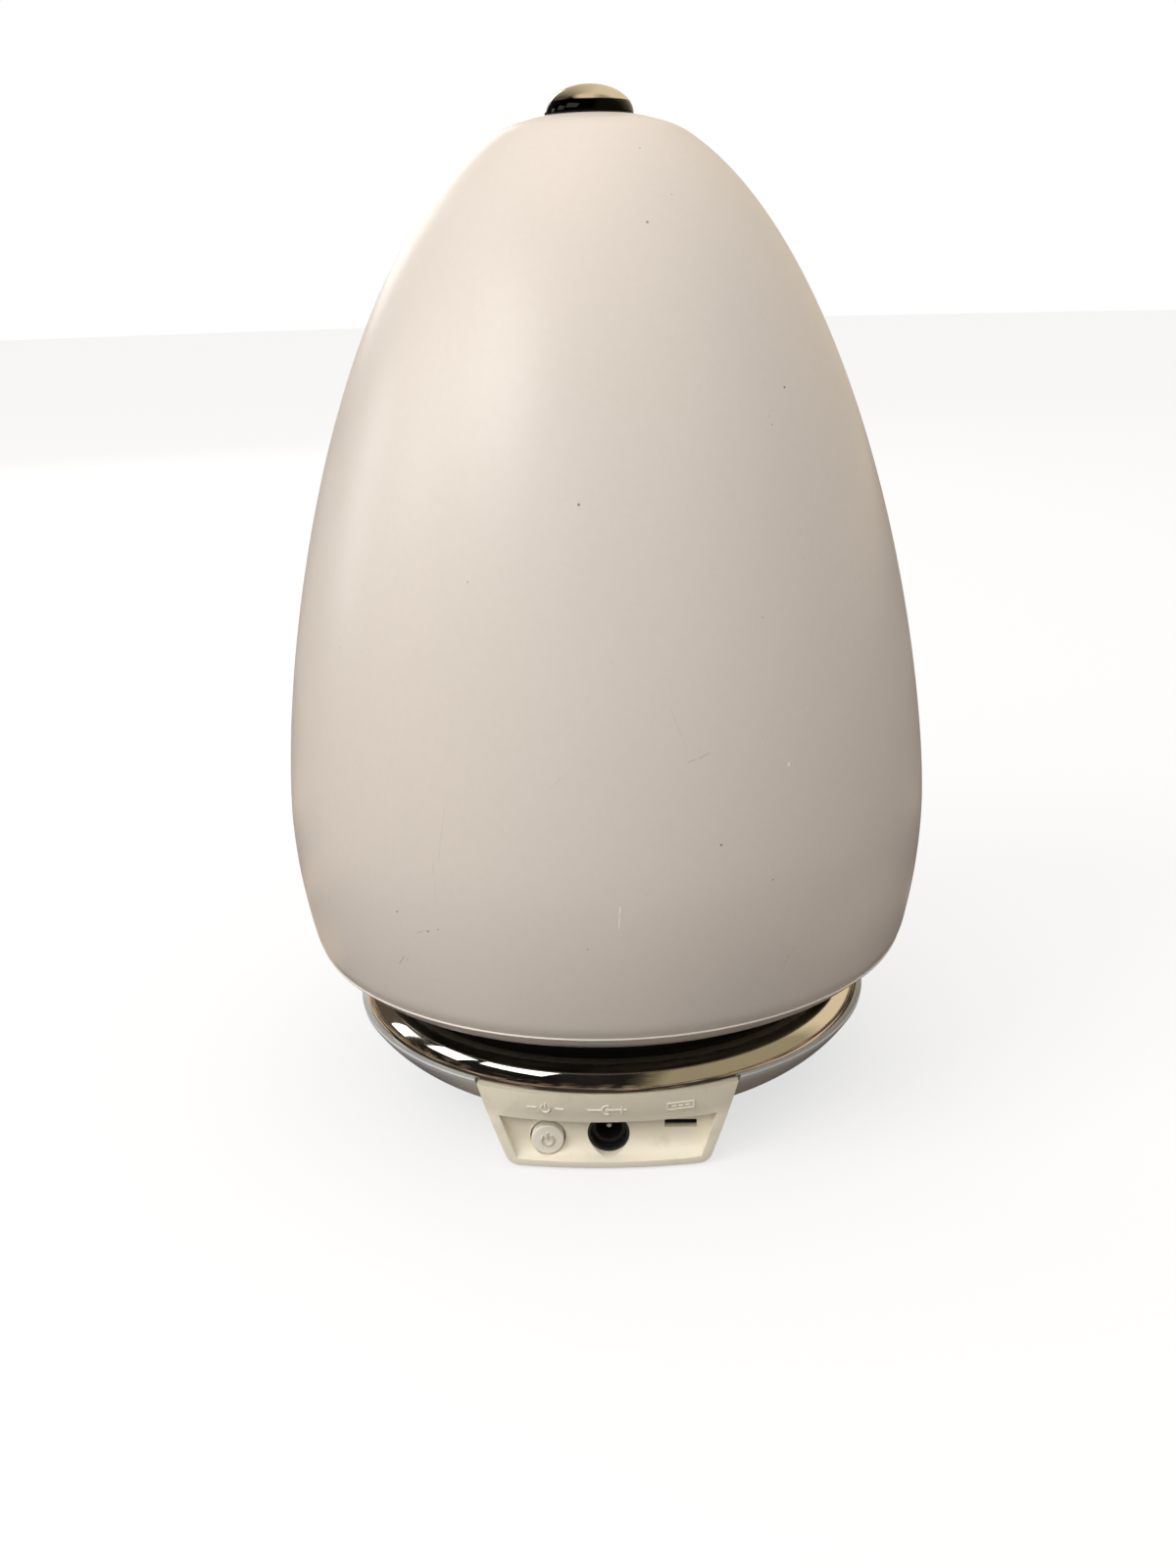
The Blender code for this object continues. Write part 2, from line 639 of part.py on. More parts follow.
def transducer():
    """Piezo disc, its seal and the ring that clamps both against the well."""
    turned("transducer_gasket", [(7.9, 28.9), (10.3, 28.9), (10.3, 29.5), (7.9, 29.5)], silicone(), MEDIUM)
    turned("transducer_disc", [(0, 27.9), (9.9, 27.9), (9.9, 28.6), (0, 28.6)], brass(), MEDIUM)
    profile = [(7.6, 24.2), (13.2, 24.2), (13.2, 25.7), (10.2, 25.7), (10.2, 27.6), (7.6, 27.6)]
    clamp = turned("transducer_clamp", profile, inner_plastic(), MEDIUM)
    ears = bmesh.new()
    for angle in CLAMP_SCREW_ANGLES:
        add_cylinder(ears, 3.2, 24.2, 25.7, polar(CLAMP_SCREW_RADIUS - 0.5, angle), 16)
    boolean(clamp, "UNION", ears)
    holes = bmesh.new()
    for angle in CLAMP_SCREW_ANGLES:
        add_cylinder(holes, 1.4, 23.0, 27.0, polar(CLAMP_SCREW_RADIUS, angle), TINY)
    boolean(clamp, "DIFFERENCE", holes)
    for index, angle in enumerate(CLAMP_SCREW_ANGLES):
        place = polar(CLAMP_SCREW_RADIUS, angle)
        screw(f"clamp_screw_{index + 1}", place, 2.1, (22.8, 23.9), 1.0, 30.4, steel())


def level_sensor():
    x, y = FLOAT_XY
    bm = bmesh.new()
    add_box(bm, (x - 5.0, y - 4.0, 28.4), (x + 5.0, y + 4.0, 29.6))
    new_object("level_board", bm, board_green())
    reed = [(0, 29.9), (1.0, 29.9), (1.1, 30.6), (1.1, 38.0), (0, 39.0)]
    turned("reed_switch", reed, silicone(), 12, FLOAT_XY)
    clip = [(2.4, 46.3), (5.0, 46.3), (5.0, 47.3), (2.4, 47.3)]
    turned("float_clip", clip, inner_plastic(), SMALL, FLOAT_XY)


def water_float():
    profile = [(3.5, 34.6), (4.6, 34.6), (4.6, 37.8), (6.8, 37.8), (6.8, 34.6), (8.0, 34.6)]
    profile += [(8.0, 40.4), (7.4, 41.0), (3.5, 41.0)]
    turned("water_float", profile, material("float_white", (0.8, 0.8, 0.78), 0.5), 18, FLOAT_XY)
    turned("float_magnet", [(4.9, 34.8), (6.5, 34.8), (6.5, 37.4), (4.9, 37.4)], steel(), SMALL, FLOAT_XY)


def leads():
    red = material("lead_red", (0.45, 0.03, 0.02), 0.5)
    dark = material("lead_black", (0.02, 0.02, 0.02), 0.5)
    disc_route = [(-2.0, -8.0, 11.6), (-3.0, -6.0, 16.0), (-2.0, -3.0, 23.0), (0.0, 0.0, 27.3)]
    wire("transducer_lead", smooth_path(disc_route, 3), 0.7, red)
    fan_route = [(9.0, -9.0, 11.8), (8.0, -3.0, 14.0), (6.0, 3.0, 15.0), (3.5, 8.0, 14.0)]
    wire("fan_lead", smooth_path(fan_route, 3), 0.7, dark)
    power_route = [(6.0, -45.7, 12.0), (6.0, -43.0, 12.6), (0.0, -39.5, 13.4), (-6.0, -36.0, 11.9)]
    wire("power_lead", smooth_path(power_route, 3), 0.9, red)


# ---------------------------------------------------------------- pieces that move

def power_button():
    """Round key with a flange behind the panel's wall; it travels along +Y."""
    front, back, flange = -60.5, -53.1, PANEL_WALL_BACK_Y + GAP
    profile = [(0, back), (1.6, back), (1.6, flange + 0.9), (4.65, flange + 0.9), (4.65, flange)]
    profile += [(BUTTON_R, flange), (BUTTON_R, front + 0.5), (BUTTON_R - 0.5, front), (0, front)]
    button = turned("power_button", forward_profile(profile, 0.0), panel_ivory(), 18)
    face_forward(button, BUTTON_XZ[0], 0.0, BUTTON_XZ[1])


def tank_shell():
    outer = egg_outline(0.0, 8.4)
    inner = egg_outline(EGG_WALL, 8.4)
    turned("tank_shell", outer + inner[::-1], ivory(), FINE)


def tank_floor():
    """Dish that closes the egg, raised in the middle to pass over the tower."""
    low, high = TANK_FLOOR_Z
    inner, outer = TANK_FLOOR_R
    hole = CHIMNEY_R[1] + GAP
    step = SHELL_LIP_R - 0.4
    profile = [(hole, low), (inner, low), (inner, 33.06), (step, 33.06), (step, 37.7), (66.0, 37.7)]
    profile += [(66.0, 39.9), (57.4, 39.9), (57.4, 35.3), (outer, 35.3), (outer, high), (hole, high)]
    floor = turned("tank_floor", profile, inner_plastic(), FINE)
    neck = bmesh.new()
    add_cylinder(neck, NECK_R[1], 44.2, low + 1, NECK_XY, MEDIUM)
    boolean(floor, "UNION", neck)
    bore = bmesh.new()
    add_cylinder(bore, NECK_R[0], 43.0, high + 1, NECK_XY, MEDIUM)
    boolean(floor, "DIFFERENCE", bore)


def tank_seals():
    turned("floor_seal", arc((63.0, 36.6), 0.8, 0, 300, 5), silicone(), FINE)
    turned("chimney_seal", arc((12.6, 55.4), 0.85, 0, 300, 5), silicone(), MEDIUM)


def mist_chimney():
    inner, outer = CHIMNEY_R
    low, high = CHIMNEY_Z
    profile = [(inner, low), (outer, low), (outer, 56.6), (14.5, 56.6), (14.5, 58.4), (outer, 58.4)]
    turned("mist_chimney", profile + [(outer, high), (inner, high)], inner_plastic(), MEDIUM)


def outlet_collar():
    """Holds the chimney's top under the hole in the egg."""
    skirt = CHIMNEY_R[1] + GAP
    profile = [(6.9, 221.5), (skirt, 221.5), (skirt, 214.0), (12.4, 214.0), (12.4, 221.5), (13.2, 221.5)]
    profile += [(13.2, 223.2), (8.1, 223.2), (8.1, 228.0), (6.9, 228.0)]
    turned("outlet_collar", profile, black(), MEDIUM)


def mist_cap():
    """Chrome dome on a hollow stem with four windows that let the mist out under the dome."""
    centre_z = 228.9
    height = CAP_TOP_Z - centre_z
    profile = []
    for step in range(6):
        x, y = polar(1.0, 90 - 18 * step)
        profile.append((CAP_R * x if step else 0.0, centre_z + height * y))
    profile += [(CAP_R, 228.6), (CAP_R - 1.0, 228.6), (CAP_R - 1.2, 230.4), (7.4, 232.2)]
    profile += [(6.4, 232.6), (6.4, 219.0), (5.2, 219.0), (5.2, 233.0), (0.0, 233.8)]
    cap = turned("mist_cap", profile, chrome(), MEDIUM)
    windows = bmesh.new()
    add_box(windows, (-8.0, -1.8, 228.6), (8.0, 1.8, 231.6))
    boolean(cap, "DIFFERENCE", windows)
    windows = bmesh.new()
    add_box(windows, (-1.8, -8.0, 228.6), (1.8, 8.0, 231.6))
    boolean(cap, "DIFFERENCE", windows)


def fill_cap():
    """Screw cap with a guide hole for the valve and six water ports."""
    bore = NECK_R[1] + 0.5
    profile = [(0, 41.6), (15.6, 41.6), (15.6, 51.3), (bore, 51.3), (bore, 43.6), (0, 43.6)]
    cap = turned("fill_cap", profile, inner_plastic(), MEDIUM, NECK_XY)
    holes = bmesh.new()
    add_cylinder(holes, 2.2, 40.0, 45.0, NECK_XY, 16)
    for index in range(6):
        x, y = polar(4.3, 60 * index)
        add_cylinder(holes, 1.0, 40.0, 45.0, (NECK_XY[0] + x, NECK_XY[1] + y), 10)
    boolean(cap, "DIFFERENCE", holes)


def valve_cage():
    profile = [(8.2, 43.9), (9.8, 43.9), (9.8, 57.0), (2.2, 57.0), (2.2, 55.5), (8.2, 55.5)]
    cage = turned("valve_cage", profile, inner_plastic(), MEDIUM, NECK_XY)
    x, y = NECK_XY
    for low, high in (((-12, -3), (12, 3)), ((-3, -12), (3, 12))):
        windows = bmesh.new()
        add_box(windows, (x + low[0], y + low[1], 46.0), (x + high[0], y + high[1], 54.0))
        boolean(cage, "DIFFERENCE", windows)


def valve():
    """Plunger that the basin's pin holds 3 mm open while the tank is seated."""
    profile = [(0, 41.2), (1.8, 41.2), (1.8, 48.2), (6.2, 48.2), (6.2, 49.6)]
    profile += [(1.8, 49.6), (1.8, 57.6), (0, 57.6)]
    turned("valve_plunger", profile, inner_plastic(), SMALL, NECK_XY)
    turned("valve_seal", [(2.1, 46.9), (6.0, 46.9), (6.0, 47.9), (2.1, 47.9)], rubber(), SMALL, NECK_XY)
    turns, steps = 4, 32
    points = []
    for step in range(steps + 1):
        x, y = polar(3.4, 360.0 * turns * step / steps)
        points.append((NECK_XY[0] + x, NECK_XY[1] + y, 50.3 + (54.8 - 50.3) * step / steps))
    wire("valve_spring", points, 0.35, steel(), 0)


def build():
    clear_scene()
    base_bowl()
    bottom_plate()
    feet_and_plate_screws()
    case_screws()
    chrome_ring()
    seat_collar()
    connector_panel()
    dc_jack()
    service_socket()
    tact_switch()
    panel_board()
    main_board()
    board_components()
    fan_housing()
    fan_rotor()
    air_duct()
    water_basin()
    transducer()
    level_sensor()
    water_float()
    leads()
    power_button()
    tank_shell()
    tank_floor()
    tank_seals()
    mist_chimney()
    outlet_collar()
    mist_cap()
    fill_cap()
    valve_cage()
    valve()


build()
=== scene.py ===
"""Looks of the cool mist humidifier: finer shells, moulded details and surface finishes.

Sizes are millimetres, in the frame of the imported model, and make() turns them into metres.
Every visible piece stands where its CAD node stands and rides on the same body.
"""
import json
import math

import bmesh
import bpy
from mathutils import Matrix, Vector

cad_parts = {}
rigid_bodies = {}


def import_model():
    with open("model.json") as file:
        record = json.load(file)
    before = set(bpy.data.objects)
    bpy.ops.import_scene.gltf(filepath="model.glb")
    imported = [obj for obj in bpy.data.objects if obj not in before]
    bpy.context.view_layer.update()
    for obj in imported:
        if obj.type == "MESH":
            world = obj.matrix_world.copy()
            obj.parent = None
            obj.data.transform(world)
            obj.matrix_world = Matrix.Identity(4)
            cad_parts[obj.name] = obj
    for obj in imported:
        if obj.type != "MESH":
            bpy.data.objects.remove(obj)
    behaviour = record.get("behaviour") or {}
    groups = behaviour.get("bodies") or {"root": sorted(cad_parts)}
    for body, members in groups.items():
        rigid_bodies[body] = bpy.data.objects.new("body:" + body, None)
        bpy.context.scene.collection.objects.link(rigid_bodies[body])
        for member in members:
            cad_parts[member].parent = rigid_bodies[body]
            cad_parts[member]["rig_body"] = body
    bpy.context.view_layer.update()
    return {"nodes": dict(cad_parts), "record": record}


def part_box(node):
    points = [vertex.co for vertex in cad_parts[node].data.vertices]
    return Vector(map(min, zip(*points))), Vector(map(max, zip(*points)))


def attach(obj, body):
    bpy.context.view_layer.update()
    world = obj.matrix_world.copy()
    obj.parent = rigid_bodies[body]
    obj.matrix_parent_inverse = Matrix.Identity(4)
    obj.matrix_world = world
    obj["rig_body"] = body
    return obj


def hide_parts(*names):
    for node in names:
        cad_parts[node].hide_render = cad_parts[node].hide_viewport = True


MM = 0.001
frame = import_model()


def span(node):
    """Lowest and highest corner of a CAD node, in millimetres."""
    low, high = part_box(node)
    return low / MM, high / MM


# Driving sizes, read from the frame
SHELL_LOW, SHELL_HIGH = span("tank_shell")
BOWL_LOW, BOWL_HIGH = span("base_bowl")
CHROME_LOW = span("chrome_ring")[0]
PANEL_LOW, PANEL_HIGH = span("connector_panel")
CAP_LOW, CAP_HIGH = span("mist_cap")
CHIMNEY_LOW, CHIMNEY_HIGH = span("mist_chimney")
BUTTON_LOW, BUTTON_HIGH = span("power_button")
JACK_LOW, JACK_HIGH = span("dc_jack")
SOCKET_LOW, SOCKET_HIGH = span("service_socket")
COLLAR_LOW, COLLAR_HIGH = span("seat_collar")

EGG_R = SHELL_HIGH.x
EGG_EQUATOR_Z = 72.0
EGG_PEAK_Z = 231.08
EGG_RISE = 1.577
EGG_ROUND = 2.168
EGG_WALL = 2.4
CROWN_Z = 229.45
CROWN_FALL = 0.0093
CROWN_EASE = 0.8
CAP_SEAT_Z = 228.5
UNDERSIDE_Z = 34.6
OUTLET_R = 8.4
RIM_R = BOWL_HIGH.x
RIM_Z = BOWL_HIGH.z
WALL_Y = -58.5
PANEL_LIP_FRONT = 62.7
PANEL_LIP_BEND = 130.0
CHROME_CENTRE = (57.2, 19.9)
SIDES = 160


# ---------------------------------------------------------------- mesh helpers

def polar(radius, angle):
    turn = math.radians(angle)
    return radius * math.cos(turn), radius * math.sin(turn)


def arc(centre, radius, start, end, steps):
    points = []
    for step in range(steps + 1):
        x, y = polar(radius, start + (end - start) * step / steps)
        points.append((centre[0] + x, centre[1] + y))
    return points


def rounded(outline, radius=0.4, steps=3):
    """Closed outline with each corner replaced by a small curve."""
    result = []
    count = len(outline)
    for index, corner in enumerate(outline):
        if corner[0] < 1e-6:
            result.append(corner)
            continue
        corner = Vector(corner)
        before = Vector(outline[index - 1]) - corner
        after = Vector(outline[(index + 1) % count]) - corner
        reach = min(radius, before.length * 0.45, after.length * 0.45)
        if before.angle(after) > math.radians(165):
            result.append(tuple(corner))
            continue
        start = corner + before.normalized() * reach
        end = corner + after.normalized() * reach
        for step in range(steps + 1):
            t = step / steps
            point = start * (1 - t) ** 2 + corner * 2 * t * (1 - t) + end * t * t
            result.append(tuple(point))
    return result


def add_lathe(bm, outline, sides=SIDES, at=(0.0, 0.0)):
    """Turn a closed (r, z) outline about a vertical axis."""
    rings = []
    for radius, height in outline:
        if radius < 1e-6:
            rings.append([bm.verts.new((at[0], at[1], height))] * sides)
            continue
        ring = []
        for side in range(sides):
            x, y = polar(radius, 360.0 * side / sides)
            ring.append(bm.verts.new((at[0] + x, at[1] + y, height)))
        rings.append(ring)
    for index, ring in enumerate(rings):
        following = rings[(index + 1) % len(rings)]
        for side in range(sides):
            turn = (side + 1) % sides
            corners = [ring[side], ring[turn], following[turn], following[side]]
            corners = list(dict.fromkeys(corners))
            if len(corners) > 2:
                bm.faces.new(corners)


def add_cylinder(bm, radius, low, high, at=(0.0, 0.0), sides=32):
    add_lathe(bm, [(0, low), (radius, low), (radius, high), (0, high)], sides, at)


def add_prism(bm, base, top):
    lower = [bm.verts.new(point) for point in base]
    upper = [bm.verts.new(point) for point in top]
    bm.faces.new(lower)
    bm.faces.new(upper)
    for index in range(len(lower)):
        following = (index + 1) % len(lower)
        bm.faces.new((lower[index], lower[following], upper[following], upper[index]))


def add_box(bm, low, high):
    corners = [(low[0], low[1]), (high[0], low[1]), (high[0], high[1]), (low[0], high[1])]
    add_prism(bm, [(x, y, low[2]) for x, y in corners], [(x, y, high[2]) for x, y in corners])


def panel_half_width(z):
    """Half width of the connector panel, which narrows towards its lower lip."""
    share = (z - PANEL_LOW.z) / (RIM_Z - PANEL_LOW.z)
    return 23.4 + (30.2 - 23.4) * share


def add_across_panel(bm, outline, shrink):
    left = [(shrink - panel_half_width(z), y, z) for y, z in outline]
    right = [(panel_half_width(z) - shrink, y, z) for y, z in outline]
    add_prism(bm, left, right)


def make(name, bm):
    """Object in the frame's metres from a bmesh in millimetres."""
    bmesh.ops.recalc_face_normals(bm, faces=bm.faces)
    mesh = bpy.data.meshes.new(name)
    bm.to_mesh(mesh)
    bm.free()
    mesh.transform(Matrix.Scale(MM, 4))
    obj = bpy.data.objects.new(name, mesh)
    bpy.context.scene.collection.objects.link(obj)
    return obj


def bake(obj):
    """Replace the mesh by what its modifiers make of it."""
    depsgraph = bpy.context.evaluated_depsgraph_get()
    mesh = bpy.data.meshes.new_from_object(obj.evaluated_get(depsgraph))
    obj.modifiers.clear()
    obj.data = mesh


def combine(target, operation, bm, soften=0.0):
    """Boolean with the shapes of a bmesh, whose own edges may be rounded first."""
    tool = make(target.name + "_tool", bm)
    if soften:
        bevel(tool, soften, 3)
    modifier = target.modifiers.new(operation, "BOOLEAN")
    modifier.operation = operation
    modifier.solver = "EXACT"
    modifier.object = tool
    bake(target)
    bpy.data.objects.remove(tool)


def bevel(obj, width, segments=2, angle=32):
    modifier = obj.modifiers.new("bevel", "BEVEL")
    modifier.width = width * MM
    modifier.segments = segments
    modifier.limit_method = "ANGLE"
    modifier.angle_limit = math.radians(angle)
    modifier.use_clamp_overlap = True
    bake(obj)


def smooth(obj, angle=35):
    obj.data.shade_smooth()
    obj.data.set_sharp_from_angle(angle=math.radians(angle))


def show(obj, node, finish, angle=35):
    """Finish a piece: it stands for a CAD node, or, without one, is detail on a body."""
    smooth(obj, angle)
    obj.data.materials.clear()
    obj.data.materials.append(finish)
    body = node
    if node in frame["nodes"]:
        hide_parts(node)
        body = frame["nodes"][node]["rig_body"]
    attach(obj, body)
    return obj


def turned(name, outline, sides=SIDES, at=(0.0, 0.0), radius=0.4):
    bm = bmesh.new()
    add_lathe(bm, rounded(outline, radius), sides, at)
    return make(name, bm)


def lay_forward(obj, x, z):
    """Turn a piece made about Z so that its top faces -Y, with its axis at x and z."""
    obj.data.transform(Matrix.Translation((x * MM, 0, z * MM)) @ Matrix.Rotation(math.radians(90), 4, "X"))


def relief(name, paths, radius):
    """Raised lines along paths of points, as one mesh."""
    curve = bpy.data.curves.new(name, "CURVE")
    curve.dimensions = "3D"
    curve.bevel_depth = radius * MM
    curve.bevel_resolution = 3
    curve.use_fill_caps = True
    for path in paths:
        spline = curve.splines.new("POLY")
        spline.points.add(len(path) - 1)
        for point, place in zip(spline.points, path):
            point.co = (place[0] * MM, place[1] * MM, place[2] * MM, 1.0)
    holder = bpy.data.objects.new(name + "_curve", curve)
    bpy.context.scene.collection.objects.link(holder)
    depsgraph = bpy.context.evaluated_depsgraph_get()
    mesh = bpy.data.meshes.new_from_object(holder.evaluated_get(depsgraph))
    bpy.data.objects.remove(holder)
    obj = bpy.data.objects.new(name, mesh)
    bpy.context.scene.collection.objects.link(obj)
    return obj


# ---------------------------------------------------------------- materials

class Finish:
    """Principled material whose colour, roughness and bump are built from noise."""

    def __init__(self, name, colour, roughness, metallic=0.0, specular=0.5, coat=0.0):
        self.material = bpy.data.materials.new(name)
        self.material.use_nodes = True
        self.nodes = self.material.node_tree.nodes
        self.links = self.material.node_tree.links
        self.shader = self.nodes["Principled BSDF"]
        self.colour = colour
        self.set("Base Color", (*colour, 1.0))
        self.set("Roughness", roughness)
        self.set("Metallic", metallic)
        self.set("Specular IOR Level", specular)
        self.set("Coat Weight", coat)
        self.place = self.nodes.new("ShaderNodeTexCoord").outputs["Object"]
        self.normal = None

    def set(self, socket, value):
        self.shader.inputs[socket].default_value = value

    def node(self, kind, **inputs):
        """New node; an input is given by its name with spaces as underscores."""
        made = self.nodes.new(kind)
        for name, value in inputs.items():
            socket = made.inputs[name.replace("_", " ")]
            if hasattr(value, "is_output"):
                self.links.new(value, socket)
            else:
                socket.default_value = value
        return made

    def stretched(self, scale):
        mapping = self.node("ShaderNodeMapping", Vector=self.place)
        mapping.inputs["Scale"].default_value = scale
        return mapping.outputs["Vector"]

    def height(self):
        """Height over the table, in metres."""
        return self.node("ShaderNodeSeparateXYZ", Vector=self.place).outputs["Z"]

    def noise(self, scale, detail=3.0, stretch=(1, 1, 1), distortion=0.0):
        """Grey noise with about `scale` features per metre."""
        made = self.node("ShaderNodeTexNoise", Vector=self.stretched(stretch), Scale=float(scale))
        made.inputs["Detail"].default_value = detail
        made.inputs["Distortion"].default_value = distortion
        return made.outputs["Fac"]

    def spots(self, scale, stretch=(1, 1, 1)):
        """Distance from scattered points."""
        made = self.node("ShaderNodeTexVoronoi", Vector=self.stretched(stretch), Scale=float(scale))
        return made.outputs["Distance"]

    def ramp(self, value, low, high, start=0.0, end=1.0):
        made = self.node("ShaderNodeMapRange", Value=value)
        made.inputs["From Min"].default_value = low
        made.inputs["From Max"].default_value = high
        made.inputs["To Min"].default_value = start
        made.inputs["To Max"].default_value = end
        return made.outputs["Result"]

    def math(self, operation, first, second):
        made = self.nodes.new("ShaderNodeMath")
        made.operation = operation
        for socket, value in zip(made.inputs, (first, second)):
            if hasattr(value, "is_output"):
                self.links.new(value, socket)
            else:
                socket.default_value = value
        return made.outputs["Value"]

    def mix(self, factor, first, second):
        """Colour between two colours, each a tuple or an output."""
        made = self.nodes.new("ShaderNodeMix")
        made.data_type = "RGBA"
        self.links.new(factor, made.inputs["Factor"])
        for socket, value in zip((made.inputs[6], made.inputs[7]), (first, second)):
            if hasattr(value, "is_output"):
                self.links.new(value, socket)
            else:
                socket.default_value = (*value, 1.0)
        return made.outputs[2]

    def tint(self, factor, other):
        """Mix another colour into the base colour where factor is high."""
        socket = self.shader.inputs["Base Color"]
        first = socket.links[0].from_socket if socket.links else self.colour
        self.links.new(self.mix(factor, first, other), socket)

    def near(self, point, size, strength):
        """High within size (millimetres) of a point in metres, with an uneven edge."""
        away = self.nodes.new("ShaderNodeVectorMath")
        away.operation = "DISTANCE"
        self.links.new(self.place, away.inputs[0])
        away.inputs[1].default_value = point
        uneven = self.ramp(self.noise(2500, 2), 0.3, 0.7, 0.0, 0.35 * size * MM)
        ragged = self.math("ADD", away.outputs["Value"], uneven)
        return self.ramp(ragged, 0.6 * size * MM, size * MM, strength, 0.0)

    def along(self, ends, width, strength):
        """High within width (millimetres) of the line between two ends in metres, with gaps."""
        start, end = ends
        middle, reach = (start + end) / 2, (end - start) / 2
        offset = self.nodes.new("ShaderNodeVectorMath")
        offset.operation = "SUBTRACT"
        self.links.new(self.place, offset.inputs[0])
        offset.inputs[1].default_value = middle
        travel = self.nodes.new("ShaderNodeVectorMath")
        travel.operation = "DOT_PRODUCT"
        self.links.new(offset.outputs["Vector"], travel.inputs[0])
        travel.inputs[1].default_value = reach / reach.length_squared
        held = self.ramp(travel.outputs["Value"], -1.0, 1.0, -1.0, 1.0)
        foot = self.nodes.new("ShaderNodeVectorMath")
        foot.operation = "SCALE"
        foot.inputs[0].default_value = reach
        self.links.new(held, foot.inputs["Scale"])
        away = self.nodes.new("ShaderNodeVectorMath")
        away.operation = "DISTANCE"
        self.links.new(offset.outputs["Vector"], away.inputs[0])
        self.links.new(foot.outputs["Vector"], away.inputs[1])
        line = self.ramp(away.outputs["Value"], 0.4 * width * MM, width * MM, strength, 0.0)
        return self.math("MULTIPLY", line, self.ramp(self.noise(700, 2), 0.4, 0.55, 0.35, 1.0))

    def rough(self, value):
        self.links.new(value, self.shader.inputs["Roughness"])

    def bump(self, height, distance, strength=1.0):
        """Add bump; distance is in millimetres."""
        made = self.node("ShaderNodeBump", Height=height, Strength=strength)
        made.inputs["Distance"].default_value = distance * MM
        if self.normal:
            self.links.new(self.normal, made.inputs["Normal"])
        self.normal = made.outputs["Normal"]
        self.links.new(self.normal, self.shader.inputs["Normal"])


def egg_point(angle, z):
    """Point on the egg's outside, in metres; angle 0 faces the panel side, + is to the right."""
    turn = math.radians(angle)
    return Vector((egg_radius(z) * math.sin(turn), -egg_radius(z) * math.cos(turn), z)) * MM


def egg_line(angle, z, lean, length):
    """Two ends of a short stroke on the egg, leaning from upright by an angle."""
    rise = 0.5 * length * math.cos(math.radians(lean))
    sweep = math.degrees(0.5 * length * math.sin(math.radians(lean)) / egg_radius(z))
    return egg_point(angle - sweep, z - rise), egg_point(angle + sweep, z + rise)


def cap_chrome():
    """Plated dome whose lower band is painted black, a painted dark reflection."""
    made = Finish("cap_chrome", (0.78, 0.74, 0.66), 0.06, metallic=1.0)
    made.tint(made.ramp(made.noise(160, 4), 0.5, 0.8, 0.0, 0.3), (0.62, 0.57, 0.49))
    # painted reflection: below this height the dome is painted near black, standing in for the dark
    # surroundings the chrome reflects
    made.tint(made.ramp(made.height(), 231.2 * MM, 231.45 * MM, 1.0, 0.0), (0.012, 0.012, 0.011))
    made.rough(made.ramp(made.noise(120, 5), 0.45, 0.75, 0.04, 0.16))
    made.bump(made.noise(700, 2), 0.01, 0.15)
    return made.material


def ivory_gloss():
    """Satin ivory shell with faint clouds, specks, scuffs, hairlines, chips, a painted highlight streak and
    an underside painted black as painted shade.
    """
    made = Finish("ivory_gloss", (0.74, 0.67, 0.605), 0.36, coat=0.12)
    made.set("Coat Roughness", 0.2)
    made.tint(made.ramp(made.noise(11, 2), 0.3, 0.75, 0.0, 0.5), (0.72, 0.655, 0.60))
    made.tint(made.ramp(made.noise(600, 2), 0.4, 0.7, 0.0, 0.12), (0.64, 0.57, 0.50))
    specks = made.ramp(made.spots(130), 0.022, 0.036, 1.0, 0.0)
    patches = made.ramp(made.noise(16, 1), 0.55, 0.62)
    made.tint(made.math("MULTIPLY", specks, made.math("MULTIPLY", patches, 0.5)), (0.22, 0.16, 0.11))
    for angle, z, size, strength in SPECKS:
        made.tint(made.near(egg_point(angle, z), size, strength), (0.16, 0.11, 0.08))
    for angle, z, lean, length, strength in SCUFFS:
        made.tint(made.along(egg_line(angle, z, lean, length), 0.14, strength), (0.36, 0.29, 0.24))
    for angle, z, size, strength in CHIPS:
        made.tint(made.near(egg_point(angle, z), size, strength), (0.95, 0.93, 0.88))
    # painted highlight: a short bright upright streak near the front of the egg, painted in for a glint of
    # light
    made.tint(made.along(egg_line(3.0, 69.0, 4.0, 5.0), 0.22, 0.9), (0.93, 0.90, 0.84))
    # painted shade: below the underside height the shell is painted near black, standing in for the shade
    # under the egg that the chrome ring reflects
    low, high = (UNDERSIDE_Z - 0.2) * MM, (UNDERSIDE_Z + 0.2) * MM
    made.tint(made.ramp(made.height(), low, high, 1.0, 0.0), (0.015, 0.015, 0.015))
    made.rough(made.ramp(made.noise(40, 3), 0.3, 0.75, 0.30, 0.44))
    made.bump(made.noise(26, 1), 0.10, 0.12)
    made.bump(made.noise(900, 2), 0.015, 0.2)
    return made.material


# Marks on the egg. Angles are from the panel side; sizes are millimetres.
SPECKS = (
    (17.5, 205.0, 0.42, 0.8), (44.0, 172.0, 0.45, 0.8), (38.0, 165.0, 0.3, 0.5), (-2.0, 152.0, 0.42, 0.9),
    (19.0, 83.0, 0.42, 0.8), (-34.5, 65.5, 0.42, 0.8), (-28.5, 62.5, 0.5, 0.5), (-26.5, 63.5, 0.3, 0.4),
    (0.0, 40.0, 0.35, 0.6), (-2.0, 62.0, 0.3, 0.5), (29.0, 128.0, 0.3, 0.4), (-50.0, 120.0, 0.3, 0.4),
    (120.0, 90.0, 0.45, 0.8), (160.0, 150.0, 0.4, 0.7), (-120.0, 70.0, 0.45, 0.8), (-150.0, 110.0, 0.35, 0.6),
)
